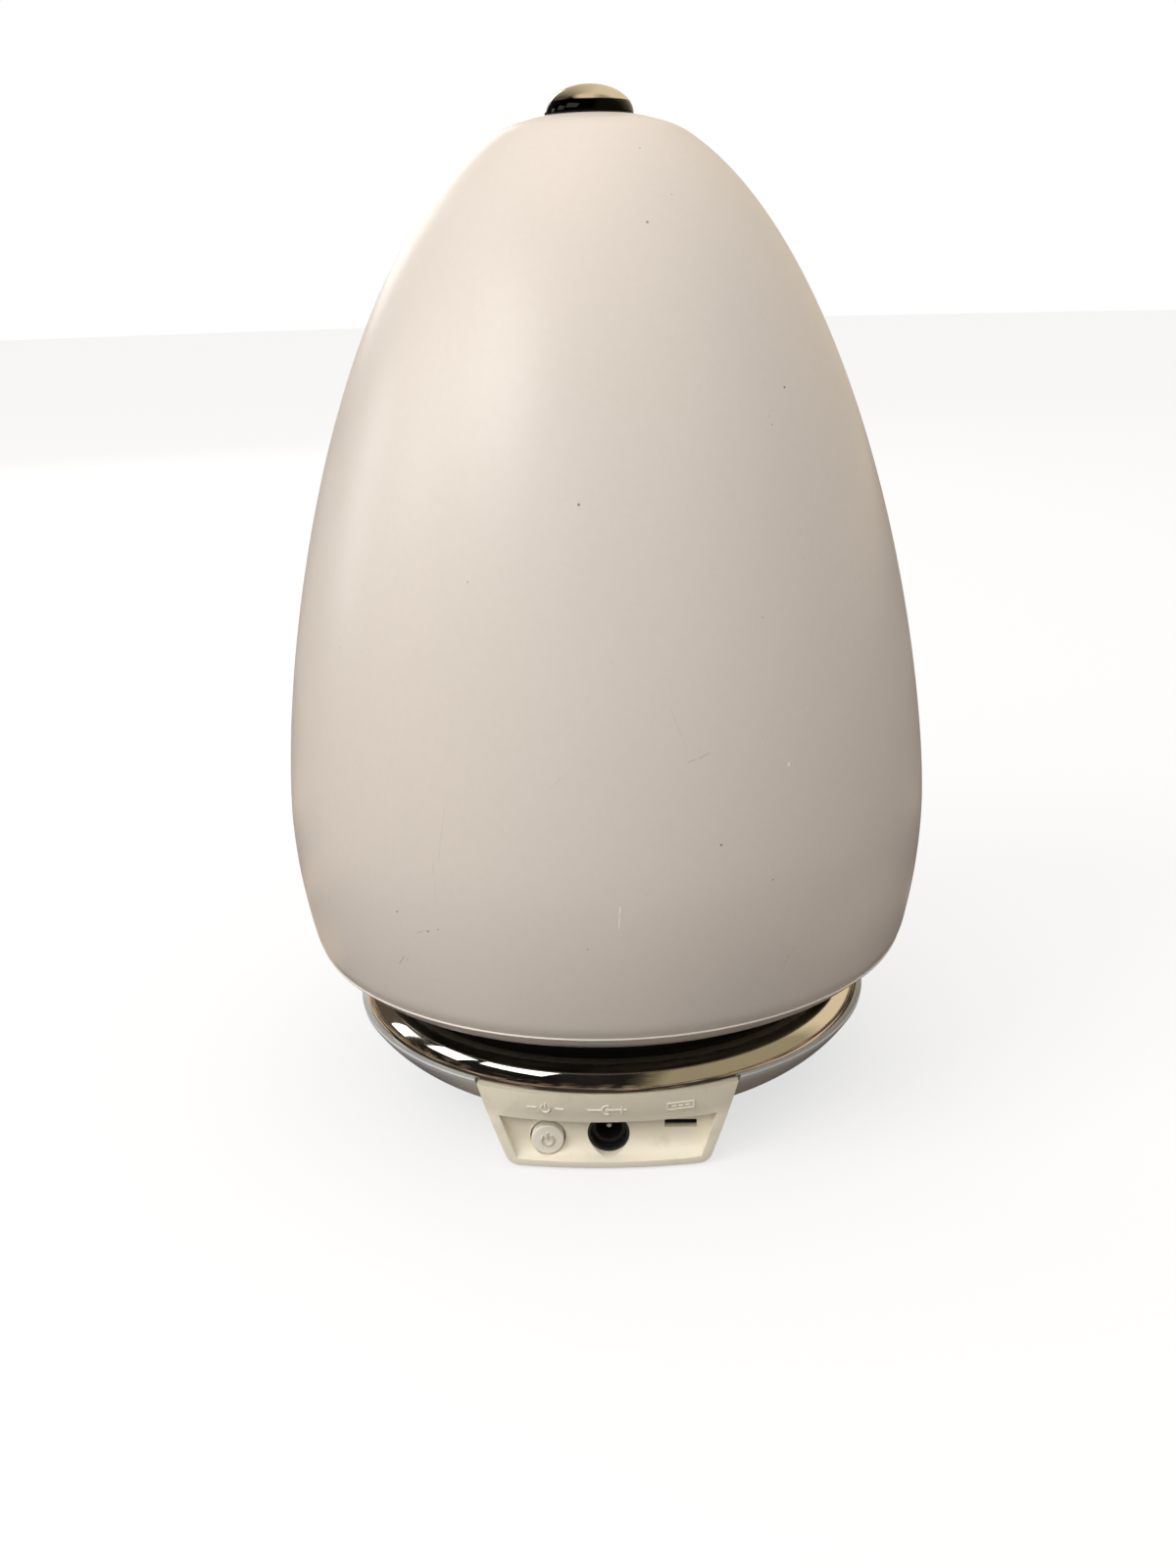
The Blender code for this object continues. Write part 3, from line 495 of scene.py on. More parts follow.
# angle, height, lean from upright, length, strength
SCUFFS = (
    (-35.0, 53.5, 40.0, 3.0, 0.7), (-33.5, 54.6, 30.0, 2.0, 0.5), (-30.0, 62.0, 60.0, 2.5, 0.5),
    (31.0, 53.0, 20.0, 4.0, 0.45), (32.0, 55.0, 25.0, 3.0, 0.35), (17.0, 102.0, 70.0, 2.5, 0.5),
    (15.0, 101.2, 75.0, 2.0, 0.45), (-25.0, 85.0, 8.0, 12.0, 0.22), (-26.5, 74.0, -4.0, 9.0, 0.18),
    (13.0, 108.0, -20.0, 9.0, 0.15), (30.0, 62.0, 12.0, 10.0, 0.15), (-6.0, 98.0, 50.0, 5.0, 0.15),
    (110.0, 60.0, 35.0, 6.0, 0.4), (150.0, 95.0, -20.0, 10.0, 0.25), (-100.0, 80.0, 15.0, 8.0, 0.3),
    (200.0, 55.0, 60.0, 5.0, 0.4), (-145.0, 140.0, -35.0, 7.0, 0.25),
)
CHIPS = (
    (31.5, 97.5, 0.6, 0.95), (36.0, 108.0, 0.3, 0.5), (27.0, 103.0, 0.25, 0.5), (140.0, 45.0, 0.5, 0.9),
)


def moulded(name, colour, roughness, other, grain=0.03, coat=0.0, specular=0.5):
    """Moulded plastic: soft colour clouds, uneven gloss and a fine grain."""
    made = Finish(name, colour, roughness, coat=coat, specular=specular)
    made.tint(made.ramp(made.noise(35, 4), 0.35, 0.75, 0.0, 0.6), other)
    made.rough(made.ramp(made.noise(70, 4), 0.3, 0.7, roughness - 0.07, roughness + 0.08))
    made.bump(made.noise(1500, 3), grain, 0.35)
    made.bump(made.noise(90, 2), 0.05, 0.12)
    return made


def key_ivory():
    """Whiter plastic of the power button and the raised signs."""
    made = moulded("key_ivory", (0.88, 0.84, 0.74), 0.38, (0.84, 0.79, 0.68), coat=0.15)
    made.tint(made.ramp(made.noise(260, 4), 0.6, 0.75, 0.0, 0.2), (0.55, 0.48, 0.38))
    return made.material


def panel_ivory():
    """Panel plastic, painted lighter in the recess and darker on the label strip, as painted light and shade.
    """
    made = moulded("panel_ivory", (0.74, 0.685, 0.55), 0.42, (0.70, 0.645, 0.51), coat=0.1)
    # painted light and shade: below the label strip the panel is painted lighter, so the strip under the ring
    # reads as shaded and the upward-facing recess as lit
    made.tint(made.ramp(made.height(), 15.0 * MM, 12.5 * MM, 0.0, 1.0), (0.90, 0.84, 0.69))
    grime = made.ramp(made.noise(160, 5), 0.58, 0.75, 0.0, 0.25)
    made.tint(grime, (0.38, 0.32, 0.23))
    return made.material


def silver_paint():
    """Satin silver paint with fine flakes."""
    made = Finish("silver_paint", (0.58, 0.58, 0.575), 0.42, metallic=0.1, coat=0.15)
    made.tint(made.ramp(made.spots(2600), 0.1, 0.5, 0.35, 0.0), (0.72, 0.72, 0.72))
    made.tint(made.ramp(made.noise(45, 3), 0.4, 0.7, 0.0, 0.4), (0.51, 0.51, 0.515))
    made.rough(made.ramp(made.noise(120, 4), 0.3, 0.7, 0.30, 0.46))
    made.bump(made.noise(2200, 2), 0.02, 0.3)
    return made.material


def chrome():
    """Polished plating: faint waviness, smears and dust."""
    made = Finish("chrome", (0.78, 0.74, 0.66), 0.06, metallic=1.0)
    made.tint(made.ramp(made.noise(80, 5), 0.5, 0.8, 0.0, 0.35), (0.62, 0.57, 0.49))
    smears = made.ramp(made.noise(55, 6, (1, 1, 2), 0.6), 0.45, 0.75, 0.035, 0.17)
    made.rough(smears)
    made.bump(made.noise(38, 1), 0.35, 0.12)
    made.bump(made.noise(700, 2), 0.01, 0.15)
    return made.material


def rubbery(name, colour, roughness):
    made = Finish(name, colour, roughness, specular=0.35)
    darker = tuple(0.6 * value + 0.02 for value in colour)
    made.tint(made.ramp(made.noise(300, 4), 0.4, 0.75, 0.0, 0.5), darker)
    made.rough(made.ramp(made.noise(200, 3), 0.3, 0.7, roughness - 0.1, roughness + 0.1))
    made.bump(made.noise(1800, 4), 0.05, 0.5)
    return made.material


def metal(name, colour, roughness, stretch=(1, 1, 12)):
    """Plain metal with fine drawn lines."""
    made = Finish(name, colour, roughness, metallic=1.0)
    lines = made.noise(900, 3, stretch)
    made.tint(made.ramp(lines, 0.35, 0.7, 0.0, 0.4), tuple(0.7 * value for value in colour))
    made.rough(made.ramp(lines, 0.3, 0.7, roughness - 0.08, roughness + 0.12))
    made.bump(lines, 0.02, 0.3)
    return made.material


def circuit_board():
    """Green solder mask with pale track lines."""
    made = Finish("circuit_board", (0.012, 0.11, 0.045), 0.35, coat=0.3)
    bricks = made.node("ShaderNodeTexBrick", Vector=made.place, Scale=260.0)
    bricks.inputs["Mortar Size"].default_value = 0.03
    tracks = made.ramp(bricks.outputs["Fac"], 0.2, 0.8, 0.0, 0.7)
    made.tint(tracks, (0.03, 0.20, 0.08))
    made.tint(made.ramp(made.spots(420), 0.10, 0.13, 0.8, 0.0), (0.55, 0.50, 0.38))
    made.rough(made.ramp(made.noise(200, 3), 0.3, 0.7, 0.28, 0.45))
    made.bump(tracks, 0.04, 0.5)
    return made.material


def clear_glass():
    made = Finish("clear_glass", (0.86, 0.92, 0.90), 0.05)
    made.set("Transmission Weight", 0.85)
    made.tint(made.ramp(made.noise(500, 2), 0.4, 0.7, 0.0, 0.3), (0.70, 0.80, 0.76))
    made.rough(made.ramp(made.noise(400, 2), 0.3, 0.7, 0.03, 0.10))
    made.bump(made.noise(300, 2), 0.02, 0.1)
    return made.material


# colour, roughness and second colour of the plain plastics, with the grain where it isn't the usual one
PLASTICS = {
    "sign_tan": ((0.66, 0.60, 0.47), 0.4, (0.61, 0.55, 0.43)),
    "black_plastic": ((0.010, 0.010, 0.010), 0.42, (0.022, 0.021, 0.020)),
    "inner_plastic": ((0.60, 0.62, 0.62), 0.38, (0.53, 0.56, 0.57)),
    "float_plastic": ((0.78, 0.78, 0.75), 0.55, (0.70, 0.70, 0.66), 0.12),
}
FINISHES = {}


def finish(slot):
    """Material of a slot of the record, made when it is first used."""
    makers = {
        "ivory_gloss": ivory_gloss,
        "panel_ivory": panel_ivory,
        "key_ivory": key_ivory,
        "silver_paint": silver_paint,
        "chrome": chrome,
        "cap_chrome": cap_chrome,
        "rubber": lambda: rubbery("rubber", (0.022, 0.022, 0.023), 0.75),
        "silicone": lambda: rubbery("silicone", (0.70, 0.70, 0.67), 0.5),
        "lead_insulation": lambda: rubbery("lead_insulation", (0.42, 0.03, 0.02), 0.45),
        "steel": lambda: metal("steel", (0.56, 0.56, 0.57), 0.30),
        "brass": lambda: metal("brass", (0.72, 0.50, 0.20), 0.28),
        "aluminium": lambda: metal("aluminium", (0.66, 0.67, 0.69), 0.34),
        "circuit_board": circuit_board,
        "glass_tube": clear_glass,
    }
    if slot not in FINISHES:
        FINISHES[slot] = moulded(slot, *PLASTICS[slot]).material if slot in PLASTICS else makers[slot]()
    return FINISHES[slot]


# ---------------------------------------------------------------- the egg and its cap

def egg_radius(z):
    if z >= EGG_EQUATOR_Z:
        share = min((z - EGG_EQUATOR_Z) / (EGG_PEAK_Z - EGG_EQUATOR_Z), 1.0)
        return EGG_R * (1.0 - share ** EGG_RISE) ** (1 / EGG_ROUND)
    return EGG_R - 0.0037 * (EGG_EQUATOR_Z - z) ** 2


def egg_height(radius):
    """Height of the egg's upper surface: its body's curve, eased into a flatter crown."""
    share = (1.0 - (radius / EGG_R) ** EGG_ROUND) ** (1 / EGG_RISE)
    body = EGG_EQUATOR_Z + (EGG_PEAK_Z - EGG_EQUATOR_Z) * share
    crown = CROWN_Z - CROWN_FALL * radius ** 2
    share = min(max(0.5 + 0.5 * (body - crown) / CROWN_EASE, 0.0), 1.0)
    eased = crown * share + body * (1.0 - share) - CROWN_EASE * share * (1.0 - share) * 0.5
    return min(eased, CAP_SEAT_Z)


def egg_outline(inset):
    """Profile of the egg from the outlet hole down to the lip, moved inwards by inset."""
    points = []
    for step in range(28):
        radius = OUTLET_R + (40.0 - OUTLET_R) * step / 28
        points.append((radius, egg_height(radius)))
    top = egg_height(40.0)
    for step in range(57):
        z = top + (43.5 - top) * step / 56
        points.append((egg_radius(z), z))
    corner = (63.26, 45.06)
    points += arc(corner, 12.0, -13.0, -30.0, 5)
    if not inset:
        points += arc(corner, 12.3, -30.6, -32.6, 3)
    points += arc(corner, 11.9, -33.2, -89.0, 14)
    points.append((60.0, SHELL_LOW.z))
    if not inset:
        return points
    moved = []
    for index, (radius, z) in enumerate(points):
        before = points[max(index - 1, 0)]
        after = points[min(index + 1, len(points) - 1)]
        dr, dz = after[0] - before[0], after[1] - before[1]
        length = math.hypot(dr, dz)
        moved.append((radius + inset * dz / length, z - inset * dr / length))
    moved[0] = (OUTLET_R, moved[0][1])
    moved[-1] = (60.0, moved[-1][1])
    return moved


def egg_shell():
    outer = egg_outline(0.0)
    top = outer[0][1]
    rim = [(OUTLET_R, top - 0.5), (OUTLET_R + 0.15, top - 0.12), (OUTLET_R + 0.5, top + 0.02)]
    bm = bmesh.new()
    add_lathe(bm, rim + outer[1:] + egg_outline(EGG_WALL)[::-2])
    show(make("egg_shell", bm), "tank_shell", finish("ivory_gloss"))


def mist_cap():
    """Chrome dome on a stem; four windows let the mist out under the dome."""
    radius = CAP_HIGH.x
    centre_z = 228.9
    height = CAP_HIGH.z - centre_z
    dome = []
    for step in range(25):
        x, y = polar(1.0, 90 - 3.75 * step)
        dome.append((radius * x if step else 0.0, centre_z + height * y))
    edge = [(radius - 0.12, 228.68), (radius - 0.45, 228.6), (radius - 0.9, 228.6), (radius - 1.1, 228.9)]
    stem = [(8.7, 230.4), (7.6, 232.1), (6.7, 232.6), (6.4, 232.2), (6.4, 219.4), (6.1, CAP_LOW.z)]
    stem += [(5.4, CAP_LOW.z), (5.2, 219.3), (5.2, 232.8), (0.0, 233.7)]
    bm = bmesh.new()
    add_lathe(bm, dome + edge + stem, 96)
    cap = make("mist_dome", bm)
    for half_x, half_y in ((7.0, 1.8), (1.8, 7.0)):
        windows = bmesh.new()
        add_box(windows, (-half_x, -half_y, 225.0), (half_x, half_y, 231.4))
        combine(cap, "DIFFERENCE", windows, 0.5)
    show(cap, "mist_cap", finish("cap_chrome"))


def outlet_collar():
    skirt = CHIMNEY_OUTER + 0.3
    outline = [(6.9, 221.5), (skirt, 221.5), (skirt, 214.0), (12.4, 214.0), (12.4, 221.5), (13.2, 221.5)]
    outline += [(13.2, 223.2), (8.1, 223.2), (8.1, 228.0), (6.9, 228.0)]
    show(turned("outlet_socket", outline, 96), "outlet_collar", finish("black_plastic"))


CHIMNEY_OUTER = 10.6
CHIMNEY_INNER = 9.2


def mist_chimney():
    outline = [(CHIMNEY_INNER, CHIMNEY_LOW.z), (CHIMNEY_OUTER, CHIMNEY_LOW.z), (CHIMNEY_OUTER, 56.6)]
    outline += [(14.5, 56.6), (14.5, 58.4), (CHIMNEY_OUTER, 58.4), (CHIMNEY_OUTER, CHIMNEY_HIGH.z)]
    outline += [(CHIMNEY_INNER, CHIMNEY_HIGH.z)]
    show(turned("chimney_tube", outline, 96), "mist_chimney", finish("inner_plastic"))


# ---------------------------------------------------------------- the base

def chrome_ring():
    outer = arc(CHROME_CENTRE, 6.65, 5.0, 90.0, 20)
    lip = [(56.9, 26.5), (56.62, 26.2), (56.6, 25.4), (56.9, 24.95)]
    inner = arc(CHROME_CENTRE, 4.95, 90.0, 6.5, 10)
    foot = [(62.2, CHROME_LOW.z), (63.5, CHROME_LOW.z)]
    bm = bmesh.new()
    add_lathe(bm, outer + lip + inner + foot, 192)
    show(make("chrome_bead", bm), "chrome_ring", finish("chrome"))


def seat_collar():
    outline = [(51.6, COLLAR_LOW.z), (60.6, COLLAR_LOW.z), (60.6, 21.6), (56.4, 21.6), (56.4, 24.6)]
    outline += [(54.0, 22.9), (54.0, COLLAR_HIGH.z), (51.6, COLLAR_HIGH.z)]
    show(turned("seat_ring", outline, 192), "seat_collar", finish("black_plastic"))


CASE_ANGLES = (90, 210, 330)
CASE_RADIUS = 43.6
BOARD_SCREWS = ((-25.0, -33.0), (25.0, -33.0))
PLATE_ANGLES = (25, 115, 205, 295)
PLATE_RADIUS = 32.8


def base_bowl():
    """Silver bowl with its foot ring, inner flange, screw posts and the gap for the panel."""
    centre = (37.8, 36.2)
    outer = arc(centre, 31.6, -31.4, -84.0, 26)
    rim = [(RIM_R - 0.25, RIM_Z), (RIM_R, RIM_Z - 0.25)]
    foot = rounded([(40.0, 4.75), (39.6, BOWL_LOW.z), (36.6, BOWL_LOW.z), (36.6, 4.9)], 0.3)[2:-2]
    flange = [(29.2, 4.9), (29.0, 5.1), (29.0, 6.7), (29.2, 6.9)]
    inner = arc(centre, 29.4, -84.0, -34.5, 14)
    top = [(62.4, RIM_Z - 0.2), (62.6, RIM_Z)]
    bm = bmesh.new()
    add_lathe(bm, rim + outer + foot + flange + inner + top, 192)
    bowl = make("bowl_shell", bm)
    posts = bmesh.new()
    for angle in CASE_ANGLES:
        add_cylinder(posts, 3.6, 6.4, 20.7, polar(CASE_RADIUS, angle))
    for place in BOARD_SCREWS:
        add_cylinder(posts, 2.8, 6.3, 8.7, place)
    combine(bowl, "UNION", posts)
    holes = bmesh.new()
    rear = PANEL_HIGH.y + 0.3
    add_across_panel(holes, [(-70, -2), (rear, -2), (rear, 22), (-70, 22)], -0.25)
    for angle in CASE_ANGLES:
        stepped = [(0, 3), (2.8, 3), (2.8, 7.5), (1.5, 7.5), (1.5, 22), (0, 22)]
        add_lathe(holes, stepped, 32, polar(CASE_RADIUS, angle))
    for place in BOARD_SCREWS:
        add_cylinder(holes, 1.4, 5.8, 10.0, place, 24)
    for angle in PLATE_ANGLES:
        add_cylinder(holes, 1.4, 4.0, 8.0, polar(PLATE_RADIUS, angle), 24)
    combine(bowl, "DIFFERENCE", holes)
    show(bowl, "base_bowl", finish("silver_paint"))


def panel_front(z):
    """Radius and centre (y) of the panel's curved front at a height; the lip is flatter than the rim."""
    share = (z - (PANEL_LOW.z - 1)) / (PANEL_HIGH.z - PANEL_LOW.z + 2)
    radius = PANEL_LIP_BEND + (RIM_R - PANEL_LIP_BEND) * share
    return radius, radius - (PANEL_LIP_FRONT + (RIM_R - PANEL_LIP_FRONT) * share)


def connector_panel():
    """Trapezoid leg: label strip, undercut recess and scooped lower lip."""
    low, high = PANEL_LOW.z, PANEL_HIGH.z
    corner = arc((3.2 - panel_half_width(low + 1.5), low + 3.2), 3.2, 197, 270, 8)
    side = [(-panel_half_width(high), high)] + corner
    outline = side + [(-x, z) for x, z in reversed(side)]
    bm = bmesh.new()
    add_prism(bm, [(x, -72.0, z) for x, z in outline], [(x, PANEL_HIGH.y, z) for x, z in outline])
    panel = make("panel_shell", bm)
    front = bmesh.new()
    rings = []
    for z in (low - 1, high + 1):
        radius, centre_y = panel_front(z)
        rings.append([(x, centre_y + y, z) for x, y in arc((0, 0), radius, 0, 360, 360)[:-1]])
    add_prism(front, *rings)
    combine(panel, "INTERSECT", front)
    recess = bmesh.new()
    scoop = arc((WALL_Y - 4.0, 6.2), 4.0, 0.0, -80.0, 10)
    add_across_panel(recess, [(-75, 13.2), (WALL_Y, 13.2)] + scoop + [(-75, 2.0)], 2.8)
    combine(panel, "DIFFERENCE", recess)
    pocket = bmesh.new()
    hollow = [(-56.5, 1.6), (-56.5, 18.2), (-40, 18.2), (-40, 6.2), (-48.0, 6.2), (-48.0, 1.6)]
    add_across_panel(pocket, hollow, 2.4)
    combine(panel, "DIFFERENCE", pocket)
    holes = bmesh.new()
    for x, z, radius in ((BUTTON_X, BUTTON_Z, 4.1), (JACK_X, JACK_Z, 4.85)):
        circle = [(x + px, z + pz) for px, pz in (polar(radius, 7.5 * step) for step in range(48))]
        add_prism(holes, [(px, -64.0, pz) for px, pz in circle], [(px, -55.0, pz) for px, pz in circle])
    add_box(holes, (SOCKET_X - 3.7, -64.0, SOCKET_Z - 1.05), (SOCKET_X + 3.7, -55.0, SOCKET_Z + 1.05))
    combine(panel, "DIFFERENCE", holes)
    bevel(panel, 0.35, 3, 25)
    show(panel, "connector_panel", finish("panel_ivory"), 60)


BUTTON_X = (BUTTON_LOW.x + BUTTON_HIGH.x) / 2
BUTTON_Z = (BUTTON_LOW.z + BUTTON_HIGH.z) / 2
JACK_X = (JACK_LOW.x + JACK_HIGH.x) / 2
JACK_Z = (JACK_LOW.z + JACK_HIGH.z) / 2
SOCKET_X = (SOCKET_LOW.x + SOCKET_HIGH.x) / 2
SOCKET_Z = (SOCKET_LOW.z + SOCKET_HIGH.z) / 2


def circle_path(x, z, radius, start=0.0, end=360.0, steps=20):
    return [(px, pz) for px, pz in arc((x, z), radius, start, end, steps)]


def on_strip(path, lift=0.05):
    """Lay a path of (x, z) points on the curved label strip."""
    points = []
    for x, z in path:
        radius, centre_y = panel_front(z)
        points.append((x, centre_y - math.sqrt((radius + lift) ** 2 - x * x), z))
    return points


def dashes(x, z, count, length, gap):
    """Row of short level strokes centred on x."""
    start = x - (count * length + (count - 1) * gap) / 2
    lefts = [start + i * (length + gap) for i in range(count)]
    return [[(left, z), (left + length, z)] for left in lefts]


def pictograms():
    """Generic raised signs over the button, the power jack and the narrow socket."""
    z = 16.5
    power = [circle_path(BUTTON_X, z, 1.05, 125, 415), [(BUTTON_X, z + 0.2), (BUTTON_X, z + 1.4)]]
    power += [[(BUTTON_X - 4.2, z), (BUTTON_X - 2.2, z)], [(BUTTON_X + 2.2, z), (BUTTON_X + 4.2, z)]]
    supply = [[(JACK_X - 4.4, z), (JACK_X - 1.2, z)], circle_path(JACK_X, z, 1.15, 70, 290)]
    supply += [circle_path(JACK_X, z, 0.3), [(JACK_X + 0.3, z), (JACK_X + 4.4, z)]]
    supply += [[(JACK_X + 3.3, z + 0.9), (JACK_X + 3.3, z - 0.9)]]
    port = dashes(SOCKET_X, z + 0.8, 1, 6.0, 0.0) + dashes(SOCKET_X, z - 0.8, 1, 6.0, 0.0)
    port += [[(x, z + 0.8), (x, z - 0.8)] for x in (SOCKET_X - 3.0, SOCKET_X + 3.0)]
    port += dashes(SOCKET_X, z, 3, 0.9, 0.6)
    signs = relief("raised_signs", [on_strip(path) for path in power + supply + port], 0.2)
    show(signs, "base", finish("key_ivory"))


def power_button():
    """Round key with a raised rim and a raised power sign."""
    front = BUTTON_LOW.y
    flange = -56.2
    outline = [(0, 53.1), (1.6, 53.1), (1.6, -flange - 0.9), (4.65, -flange - 0.9), (4.65, -flange)]
    outline += [(3.75, -flange), (3.75, -front - 0.5), (3.45, -front - 0.1), (0, -front - 0.1)]
    button = turned("power_key", outline, 64, radius=0.25)
    lay_forward(button, BUTTON_X, BUTTON_Z)
    show(button, "power_button", finish("key_ivory"))
    y = front + 0.05
    ring = [(x, y, z) for x, z in circle_path(BUTTON_X, BUTTON_Z, 1.35, 130, 410, 28)]
    bar = [(BUTTON_X, y, BUTTON_Z + 0.2), (BUTTON_X, y, BUTTON_Z + 1.9)]
    sign = relief("power_sign", [ring, bar], 0.32)
    show(sign, "button", finish("sign_tan"))


def sockets():
    """Power jack with its centre pin, and the narrow socket with its tongue."""
    front, floor, back = 56.2, 50.5, 48.3
    outline = [(0, back), (4.3, back), (4.3, front), (3.0, front), (3.0, floor), (0, floor)]
    jack = turned("jack_body", outline, 64, radius=0.3)
    lay_forward(jack, JACK_X, JACK_Z)
    show(jack, "dc_jack", finish("black_plastic"))
    pin = turned("jack_post", [(0, 50.8), (1.0, 50.8), (1.0, 54.6), (0.6, 55.2), (0, 55.2)], 32, radius=0.2)
    lay_forward(pin, JACK_X, JACK_Z)
    show(pin, "jack_pin", finish("steel"))
    rim = turned("jack_rim", [(4.15, 56.3), (4.8, 56.3), (4.8, 58.6), (4.15, 58.45)], 64, radius=0.2)
    lay_forward(rim, JACK_X, JACK_Z)
    show(rim, "base", finish("black_plastic"))
    bm = bmesh.new()
    add_box(bm, SOCKET_LOW, SOCKET_HIGH)
    shell = make("socket_shell", bm)
    mouth = bmesh.new()
    add_box(mouth, (SOCKET_X - 3.5, -60.0, SOCKET_Z - 0.9), (SOCKET_X + 3.5, -51.0, SOCKET_Z + 0.9))
    combine(shell, "DIFFERENCE", mouth)
    bevel(shell, 0.2, 2)
    show(shell, "service_socket", finish("black_plastic"))
    bm = bmesh.new()
    add_box(bm, (SOCKET_X - 2.6, -55.4, SOCKET_Z + 0.05), (SOCKET_X + 2.6, -51.2, SOCKET_Z + 0.5))
    tongue = make("socket_tongue", bm)
    bevel(tongue, 0.1, 2)
    show(tongue, "base", finish("black_plastic"))


def sealing_rings():
    """Water seals between the tank's shell, floor and chimney."""
    for name, node in (("floor_bead", "floor_seal"), ("chimney_bead", "chimney_seal")):
        low, high = span(node)
        outer, middle = high.x, (low.z + high.z) / 2
        thick = (high.z - low.z) / 2
        outline = [(outer - thick + px, middle + pz) for px, pz in arc((0, 0), thick, 0, 360, 16)[:-1]]
        show(turned(name, outline, 128, radius=0.0001), node, finish("silicone"))


def rubber_feet():
    for number in (1, 2, 3, 4):
        node = "rubber_foot_%d" % number
        low, high = span(node)
        radius = (high.x - low.x) / 2
        centre = ((low.x + high.x) / 2, (low.y + high.y) / 2)
        outline = [(0, low.z + 0.35), (radius * 0.55, low.z + 0.35), (radius * 0.66, low.z)]
        outline += [(radius * 0.9, low.z), (radius, low.z + 0.5), (radius, high.z), (0, high.z)]
        show(turned("foot_pad_%d" % number, outline, 48, centre, 0.25), node, finish("rubber"))


# piece, node, slot and width of the softened edge
SOFTENED = (
    ("fill_cap_body", "fill_cap", "inner_plastic", 0.35),
    ("fan_case", "fan_housing", "black_plastic", 0.25),
    ("duct_body", "air_duct", "inner_plastic", 0.3),
    ("float_body", "water_float", "float_plastic", 0.4),
    ("clamp_body", "transducer_clamp", "steel", 0.15),
)


def softened_pieces():
    """Inner pieces whose CAD shape only needs its edges softened."""
    for name, node, slot, width in SOFTENED:
        source = frame["nodes"][node]
        copy = source.copy()
        copy.data = source.data.copy()
        for key in list(copy.keys()):
            del copy[key]
        copy.parent = None
        copy.name = name
        bpy.context.scene.collection.objects.link(copy)
        copy.matrix_world = source.matrix_world
        bevel(copy, width, 2, 40)
        show(copy, node, finish(slot), 40)


def carried_over():
    """Give every CAD node that is still shown its material."""
    slots = {entry["node"]: entry["material_slot"] for entry in frame["record"]["subparts"]}
    for name, obj in frame["nodes"].items():
        if obj.hide_render:
            continue
        obj.data.materials.clear()
        obj.data.materials.append(finish(slots[name]))
        obj.data.shade_smooth()
        obj.data.set_sharp_from_angle(angle=math.radians(35))


# ---------------------------------------------------------------- studio

def camera():
    """Camera at the panel side, a little below the egg's top and looking down."""
    data = bpy.data.cameras.new("camera")
    data.sensor_width = 36.0
    data.lens = 36.0
    data.shift_x = -0.0119
    data.clip_start = 0.01
    obj = bpy.data.objects.new("camera", data)
    bpy.context.scene.collection.objects.link(obj)
    turn = Matrix.Rotation(math.radians(1.6), 4, "Z")
    place = turn @ Matrix.Translation((0.0, -0.3765, 0.1963))
    tilt = Matrix.Rotation(math.radians(90.0 - 18.2), 4, "X")
    roll = Matrix.Rotation(math.radians(-1.5), 4, "Z")
    obj.matrix_world = place @ tilt @ roll
    bpy.context.scene.camera = obj


def area_light(name, place, aim, size, power, colour):
    data = bpy.data.lights.new(name, "AREA")
    data.shape = "RECTANGLE"
    data.size, data.size_y = size
    data.energy = power
    data.color = colour
    obj = bpy.data.objects.new(name, data)
    bpy.context.scene.collection.objects.link(obj)
    obj.location = place
    obj.rotation_euler = (Vector(aim) - Vector(place)).to_track_quat("-Z", "Y").to_euler()
    return obj


KEY_POWER = 17.0
WINDOW_RADIANCE = 8.0
CEILING = (0.80, 0.67, 0.47)


def lights():
    """Soft key from the left, front fill, a light behind for the rim, and windows seen only in chrome."""
    middle = (0.0, 0.0, 0.1)
    white = (1.0, 0.985, 0.96)
    area_light("key", (-1.3, -0.9, 1.2), middle, (1.1, 1.1), KEY_POWER, white).visible_glossy = False
    area_light("fill", (-0.45, -1.0, 0.75), middle, (0.6, 0.4), 2.2, white).visible_glossy = False
    rim = area_light("rim", (-0.60, 1.30, 0.62), middle, (0.7, 0.5), 2.6, white)
    rim.visible_camera = False
    windows = (
        ("window_left", (-1.00, -0.20, 0.58), (0.36, 0.42)),
        ("window_front", (-0.66, -0.62, 0.84), (0.58, 0.44)),
        ("window_back", (-1.10, 0.30, 0.36), (0.24, 0.44)),
    )
    for name, place, size in windows:
        power = WINDOW_RADIANCE * size[0] * size[1]
        area_light(name, place, middle, size, power, white).visible_diffuse = False


